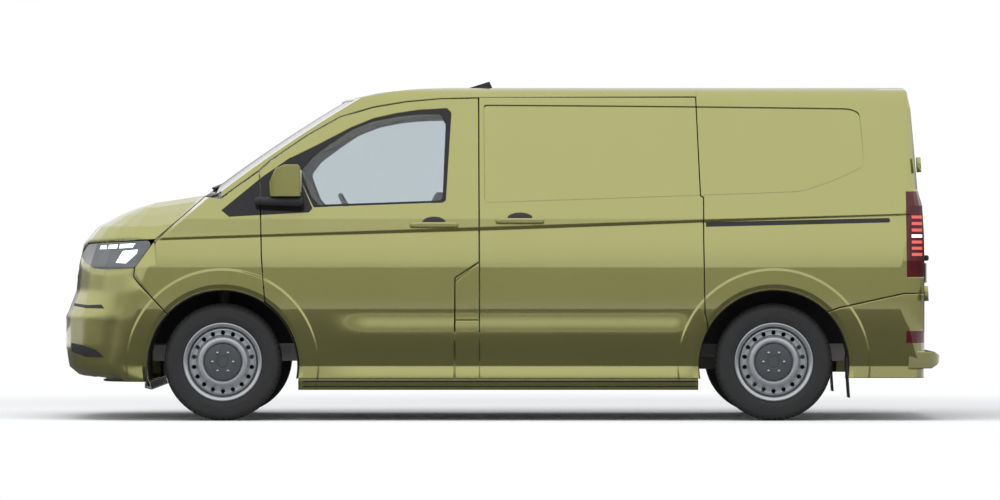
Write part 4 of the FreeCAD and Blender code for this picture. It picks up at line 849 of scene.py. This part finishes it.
# %% [markdown]
# ## Window surrounds and the black triangle by the mirror
#
# A black ring runs round each cab door's glass, and a black triangle fills the corner ahead of it. Both
# follow the panels, so they are cut from copies of the glass, the wing and the door, and sit a little
# proud of them.

# %% Surrounds and triangles, both sides
CLEAR_GLASS = [seen(*p) for p in ((311.5, 157.6), (331, 143), (350.9, 129.6), (373.2, 120.9),
                                  (395.5, 116.4), (418, 114.2), (440.2, 113.6), (445.6, 122.5),
                                  (442.6, 198), (440, 200.6), (372, 203), (318.5, 204.8), (311, 196),
                                  (301.5, 171))]
CORNER_PIECE = [seen(*p) for p in ((221.4, 210.2), (262, 176.8), (290.5, 157), (312.5, 208.2),
                                   (309, 212.2), (229, 216.6))]
PAST_THE_SIDE = 1.3
RING_PROUD = 0.0035
CORNER_PROUD = 0.003


def half_of(side, inner=0):
    """How far a cut reaches across one half of the van, from an inner distance to past the side."""
    return (-PAST_THE_SIDE, -inner) if side < 0 else (inner, PAST_THE_SIDE)


for name, side in SIDES:
    door = "front_door_" + name
    ring = cut(cad_copy("door_glass_" + name, "window_surround_" + name),
               prism(CLEAR_GLASS, *half_of(side)), "DIFFERENCE")
    placed(lifted(ring, (0, side * RING_PROUD, 0.0006)), "gloss_black", door)
    for panel, body in (("fenders", "body"), (door, door)):
        piece = trim_of(panel, "corner_trim_%s_%s" % (panel, name), CORNER_PIECE,
                        (0, side * CORNER_PROUD, 0), half_of(side))
        placed(piece, "gloss_black", body)
        print(piece.name, len(piece.data.polygons))

# %% [markdown]
# ## Handles
#
# Each side has two: a body-coloured bar over a dark cup. The bar is a cube stretched along the van. Its
# end faces are picked, inset and drawn out and towards the panel, and then it is rounded with a bevel
# and one subdivision. The cup is a flattened ball sunk in the panel, with an edge cut in near the panel.

# %% Handles
PULL_BAR = (0.255, 0.030, 0.034)
PULL_BAR_OUT = 1.004
END_INSET = 0.006
END_ALONG = 0.010
END_TO_PANEL = 0.004
CUP = (0.075, 0.012, 0.036)
CUP_OUT = 0.992
CUP_LIFT = 0.012
CUP_SLICE = 0.994


def handle(name, at, side, body):
    """A pull bar and the cup behind it."""
    x, z = at
    bar = sized_cube(name, (x, side * PULL_BAR_OUT, z), PULL_BAR)
    bpy.ops.object.mode_set(mode="EDIT")
    bpy.ops.mesh.select_mode(type="FACE")
    for end in (-1, 1):
        bpy.ops.mesh.select_all(action="DESELECT")
        bpy.ops.object.mode_set(mode="OBJECT")
        for face in bar.data.polygons:
            face.select = face.normal.x * end > 0.9
        bpy.ops.object.mode_set(mode="EDIT")
        bpy.ops.mesh.inset(thickness=END_INSET)
        bpy.ops.transform.translate(value=(end * END_ALONG, -side * END_TO_PANEL, 0))
    modify(bar, "BEVEL", width=0.009, segments=3)
    modify(bar, "SUBSURF", levels=1, render_levels=1)
    placed(bar, "paint", body)
    cup = start("uv_sphere", name + "_cup", segments=32, ring_count=16, radius=1,
                location=(x, side * CUP_OUT, z + CUP_LIFT))
    cup.scale = CUP
    bpy.ops.object.transform_apply(location=False, rotation=False, scale=True)
    edit_all(cup)
    bpy.ops.mesh.bisect(plane_co=(x, side * CUP_SLICE, z), plane_no=(0, side, 0), clear_outer=False,
                        clear_inner=False)
    placed(cup, "black_plastic", body)


for name, side in SIDES:
    handle("door_handle_" + name, seen(434, 225), side, "front_door_" + name)
    handle("slide_handle_" + name, seen(520, 221), side, "body")
print("handles done")

# %% [markdown]
# ## Side trims, and the painted shade of the runner slot
#
# The runner slot of the sliding door is a groove along the rear quarter. Its dark is painted shade: a
# black strip cut from the panel stands for it. The sill carries fine dark lines, cut from the panel in the
# same way. Dark rubber flaps hang behind the wheels.

# %% One mud flap
FLAP_THICK = 0.008
FLAP_WIDE = 0.20
FLAP_TURN = (0, math.radians(-4), 0)


def mud_flap(name, top_left, low_right, y):
    """A rubber flap between two corners seen in the side view."""
    (x0, z1), (x1, z0) = seen(*top_left), seen(*low_right)
    flap = rounded_box(name, ((x0 + x1) / 2, y, (z0 + z1) / 2), (FLAP_THICK, FLAP_WIDE, z1 - z0), 0.003, 2,
                       FLAP_TURN)
    placed(flap, "black_plastic", "body")


print("flap helper ready")

# %% Runner slots, sill lines and flaps
SLOT_SHADE_OUTLINE = [seen(706, 222.2), seen(706, 226.8), seen(889, 222.4), seen(890.5, 220.6), seen(889, 218.0)]
SLOT_LIFT = 0.0012
SILL_LINES = (((303, 380.8), (697, 382.2)), ((303, 386.0), (697, 387.0)))
LINE_LIFT = 0.0015
FLAPS = (("front", (144.5, 366), (148.5, 386.5), 0.90), ("rear", (845.5, 357), (851, 398), 0.86))

for name, side in SIDES:
    # The runner slot's black strip is painted shade, standing for the dark inside the groove.
    slot_shade_strip = trim_of("quarter_panels", "runner_slot_" + name, SLOT_SHADE_OUTLINE, (0, side * SLOT_LIFT, 0), half_of(side))
    placed(slot_shade_strip, "black_plastic", "body")
    for number, ((x0, y0), (x1, y1)) in enumerate(SILL_LINES):
        corners = [seen(x0, y1), seen(x1, y1), seen(x1, y0), seen(x0, y0)]
        line = trim_of("sills", "sill_line_%s_%d" % (name, number), corners,
                       (0, side * LINE_LIFT, 0), half_of(side))
        placed(line, "black_plastic", "body")
    for place, top_left, low_right, out in FLAPS:
        mud_flap("mud_flap_%s_%s" % (place, name), top_left, low_right, side * out)
print("side trims done")

# %% [markdown]
# ## Headlamps
#
# The photo shows three short white bars along the top of each lamp and a bright lens below them. Their
# shapes are cut from copies of the lamp solid, so they follow its curve round the corner.

# %% Lit parts of the headlamps
LIT = {"day_bar_a": ((98.0, 249.2), (105.8, 248.9), (105.0, 245.0), (99.2, 245.6)),
       "day_bar_b": ((107.2, 248.8), (116.2, 248.4), (117.2, 244.4), (107.8, 245.0)),
       "day_bar_c": ((118.4, 248.4), (132.2, 247.6), (135.2, 243.4), (119.4, 244.2)),
       "main_lens": ((115.5, 262.8), (126.0, 263.4), (136.6, 253.6), (137.6, 249.6), (122.5, 251.0))}
CORNER_INNER = 0.5
PROUD = 0.002

for name, side in SIDES:
    for label, corners in LIT.items():
        piece = trim_of("headlamps", "%s_%s" % (label, name), [seen(*p) for p in corners],
                        (-0.0015, side * PROUD, 0.0005), half_of(side, CORNER_INNER))
        placed(piece, "lit_white", "body")
        print(piece.name, len(piece.data.polygons))

# %% [markdown]
# ## Tail lamps
#
# Dark red covers with six short bright bars and one white one, and a red reflector low on the bumper.
# All are slabs cut from copies of the solids, so they follow the corner's curve.

# %% Bars and reflectors at the back
LAMP_BARS = ((217, "lit_red"), (223.5, "lit_red"), (230, "lit_red"), (236, "lit_white"), (242, "lit_red"),
             (248.2, "lit_red"), (254.4, "lit_red"))
LAMP_BAR_ENDS = (911.5, 922.8)
LAMP_BAR_HALF = 1.5
REFLECTOR = ((906, 331), (925, 343))


def slab(node, name, top_left, low_right, side):
    """A rectangle of the side view cut from one side of a rear panel."""
    (x0, z1), (x1, z0) = seen(*top_left), seen(*low_right)
    return trim_of(node, name, [(x0, z0), (x1, z0), (x1, z1), (x0, z1)], (0.001, side * PROUD, 0),
                   half_of(side, CORNER_INNER))


for name, side in SIDES:
    for number, (py, finish) in enumerate(LAMP_BARS):
        bar = slab("tail_lamps", "tail_bar_%s_%d" % (name, number), (LAMP_BAR_ENDS[0], py - LAMP_BAR_HALF),
                   (LAMP_BAR_ENDS[1], py + LAMP_BAR_HALF), side)
        placed(bar, finish, "body")
    reflector = slab("rear_bumper", "rear_reflector_" + name, *REFLECTOR, side)
    placed(reflector, "lamp_red", "body")
print("tail lamps done")

# %% [markdown]
# ## Front face
#
# Under the bonnet's edge lies a slim black opening, and below it the bumper with its plate, and with a
# dark slit and a dark pocket at each corner. The wide lower intake is a CAD solid. The plate is blank.

# %% Black front trims
BAND = [(-0.50, 0.800), (0.50, 0.800), (0.525, 0.822), (-0.525, 0.822)]
BAND_REACH = (-2.6, -2.2)
BUMPER_TRIMS = {"bumper_slit": ((70, 303.4), (86, 305.2), (100.5, 304.6), (103.6, 308.5), (84, 308.2),
                                (70, 306.0)),
                "bumper_pocket": ((68, 343.6), (82, 345.6), (96, 351.0), (103.4, 357.6), (84, 357.4),
                                  (68, 352.0))}

band = trim_of("front_bumper", "upper_grille_band", BAND, (-0.0015, 0, 0.0005), BAND_REACH, "X")
placed(band, "gloss_black", "body")
for name, side in SIDES:
    for label, corners in BUMPER_TRIMS.items():
        piece = trim_of("front_bumper", "%s_%s" % (label, name), [seen(*p) for p in corners],
                        (-0.001, side * PROUD, 0), half_of(side, CORNER_INNER))
        placed(piece, "black_plastic", "body")
print("front trims done")

# %% Front plate
PLATE_HEIGHT = 0.665
plate = rounded_box("front_plate", (-2.404, 0, PLATE_HEIGHT), (0.012, 0.52, 0.112), 0.004)
placed(plate, "plate_white", "body")
holder = rounded_box("front_plate_holder", (-2.400, 0, PLATE_HEIGHT), (0.012, 0.545, 0.135), 0.005)
placed(holder, "black_plastic", "body")
print("front plate at", PLATE_HEIGHT)

# %% [markdown]
# ## Mirrors
#
# The housing is a CAD solid. The photo adds a black arm under it, and the side that faces the driver
# carries the glass.

# %% Mirror arms and glasses
ARM = (0.276, 0.105, 0.056)
ARM_PLACE = (-1.234, 1.045, 1.234)
ARM_SHRINK = (1, 0.75, 0.8)
SHRINK_ABOUT = (-1.3, 1.03, 1.242)
GLASS = (0.006, 0.095, 0.125)
GLASS_SUNK = 0.001
GLASS_OUT = 0.022
GLASS_UP = 0.02

for name, side in SIDES:
    body = "front_door_" + name
    low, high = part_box("mirror_" + name)
    x, y, z = ARM_PLACE
    arm = rounded_box("mirror_arm_" + name, (x, side * y, z), ARM, 0.022, 4)
    bpy.ops.object.mode_set(mode="EDIT")
    bpy.ops.mesh.select_all(action="DESELECT")
    bpy.ops.object.mode_set(mode="OBJECT")
    for vertex in arm.data.vertices:
        vertex.select = vertex.co.x < 0
    bpy.ops.object.mode_set(mode="EDIT")
    x, y, z = SHRINK_ABOUT
    bpy.ops.transform.resize(value=ARM_SHRINK, center_override=(x, side * y, z))
    placed(arm, "black_plastic", body)
    y, z = (low.y + high.y) / 2 + side * GLASS_OUT, (low.z + high.z) / 2 + GLASS_UP
    glass = rounded_box("mirror_glass_" + name, (high.x - GLASS_SUNK, y, z), GLASS, 0.0028)
    placed(glass, "bright_steel", body)
print("mirrors done")

# %% [markdown]
# ## Wipers
#
# Two wipers rest at the foot of the windscreen. Each is a flat arm with a thin blade under it.

# %% Wipers
WIPERS = ((-0.57, 0.02), (0.03, 0.60))
FOOT = (-1.622, 1.301)
TIP = (-1.540, 1.352)
WIPER_PARTS = (("arm", (0.022, 0.010), 0.010), ("blade", (0.010, 0.018), -0.004))

for number, (y0, y1) in enumerate(WIPERS):
    foot = Vector((FOOT[0], y0, FOOT[1]))
    tip = Vector((TIP[0], y1, TIP[1]))
    run = tip - foot
    for label, size, lift in WIPER_PARTS:
        piece = rounded_box("wiper_%s_%d" % (label, number), (foot + tip) / 2 + Vector((0, 0, lift)),
                            (run.length, *size), 0.003, 2, run.to_track_quat("X", "Z").to_euler())
        placed(piece, "black_plastic", "body")
print("wipers done")

# %% [markdown]
# ## Back face
#
# It isn't in the photo, so it has what such vans have: hinges at both edges, a handle, a blank plate
# with a lamp bar over it, and a high brake lamp. Rear wipers are left out.

# %% Hinges of the rear doors
HINGES = ((2.402, 0.932, 0.715), (2.362, 0.906, 1.440))
HINGE_LEAN = math.radians(-3.4)

for name, side in SIDES:
    for number, (x, y, z) in enumerate(HINGES):
        hinge = start("cylinder", "rear_hinge_%s_%d" % (name, number), vertices=24, radius=0.014,
                      depth=0.085, location=(x, side * y, z), rotation=(0, HINGE_LEAN, 0))
        modify(hinge, "BEVEL", width=0.004, segments=2)
        placed(hinge, "paint", "body")
print("rear hinges done")

# %% Plate, pull and lamps at the back
FITTINGS = (
    ("rear_plate", (2.4245, -0.36, 0.83), (0.008, 0.52, 0.112), 0.003, "plate_white",
     "rear_door_left", None),
    ("plate_lamp_bar", (2.428, -0.36, 0.915), (0.026, 0.50, 0.032), 0.010, "black_plastic",
     "rear_door_left", "black_plastic"),
    ("rear_pull", (2.433, 0.10, 0.99), (0.024, 0.15, 0.036), 0.010, "paint", "rear_door_right", "paint"),
    ("high_brake_lamp", (2.333, 0, 1.800), (0.020, 0.28, 0.022), 0.006, "lamp_red", "body", "lamp_red"))

for name, place, size, radius, finish, body, slot in FITTINGS:
    placed(rounded_box(name, place, size, radius), finish, body)
print(len(FITTINGS), "rear fittings")
low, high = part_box("rear_door_left")
print("rear door box", [round(v, 3) for v in (*low, *high)])

# %% [markdown]
# ## Seats
#
# Each seat is a foam cushion and a foam back in woven cloth. Cloth simulation is the usual way to such
# a pad. These are seen only through glass or an open door, so a quicker way is used: a cube with plenty
# of divisions, made thinner towards its edges so that its middle stands up, and one subdivision.

# %% A crowned pad
DIVISIONS = 7
EDGE_THINNER = 0.28
SIDES_DRAWN_IN = 0.05


def pad(name, place, size, tilt=0.0):
    """A crowned pad, thickest in its middle, with its sides drawn in."""
    piece = sized_cube(name, place, size)
    edit_all(piece)
    bpy.ops.mesh.subdivide(number_cuts=DIVISIONS)
    bpy.ops.object.mode_set(mode="OBJECT")
    half = [s / 2 for s in size]
    thin = min(range(3), key=lambda i: size[i])
    others = [i for i in range(3) if i != thin]
    for vertex in piece.data.vertices:
        share = [vertex.co[i] / half[i] for i in range(3)]
        edge = max(abs(share[i]) for i in others)
        vertex.co[thin] *= 1 - EDGE_THINNER * edge ** 4
        for i in others:
            vertex.co[i] *= 1 - SIDES_DRAWN_IN * share[thin] ** 2
    modify(piece, "SUBSURF", levels=1, render_levels=1)
    piece.rotation_euler = (0, tilt, 0)
    return piece


print("pad helper ready")

# %% Cushions, backs and plinths
# The middle of each part in x and z, then its size in x and z.
CUSHION = (-0.75, 0.695, 0.50, 0.13)
BACK = (-0.405, 1.02, 0.115, 0.56)
PLINTH = (-0.75, 0.535, 0.40, 0.205)
BACK_TILT = math.radians(18)
BACK_SHARE = 0.92
PLINTH_SHARE = 0.78
PAD_ANGLE = 60


def dressed_seat(name, node, middle, width):
    """Cushion, back and plinth in place of the CAD seat."""
    x, z, length, height = CUSHION
    cushion = pad(name + "_cushion", (x, middle, z), (length, width, height))
    placed(cushion, "seat_fabric", "body", [node], PAD_ANGLE)
    x, z, length, height = BACK
    back = pad(name + "_back", (x, middle, z), (length, width * BACK_SHARE, height), BACK_TILT)
    placed(back, "seat_fabric", "body", (), PAD_ANGLE)
    x, z, length, height = PLINTH
    plinth = rounded_box(name + "_plinth", (x, middle, z), (length, width * PLINTH_SHARE, height), 0.02)
    placed(plinth, "dash_plastic", "body")


dressed_seat("driver_seat", "driver_seat", -0.42, 0.47)
dressed_seat("bench", "passenger_seat", 0.30, 0.82)
print("seats done")

# %% [markdown]
# ## The size of the dressed van
#
# The box round every shown piece but the floor, the card and the flag is
# measured. The visual model has to stay inside the CAD model's box but for a small margin.

# %% Sizes and the last line
low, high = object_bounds()
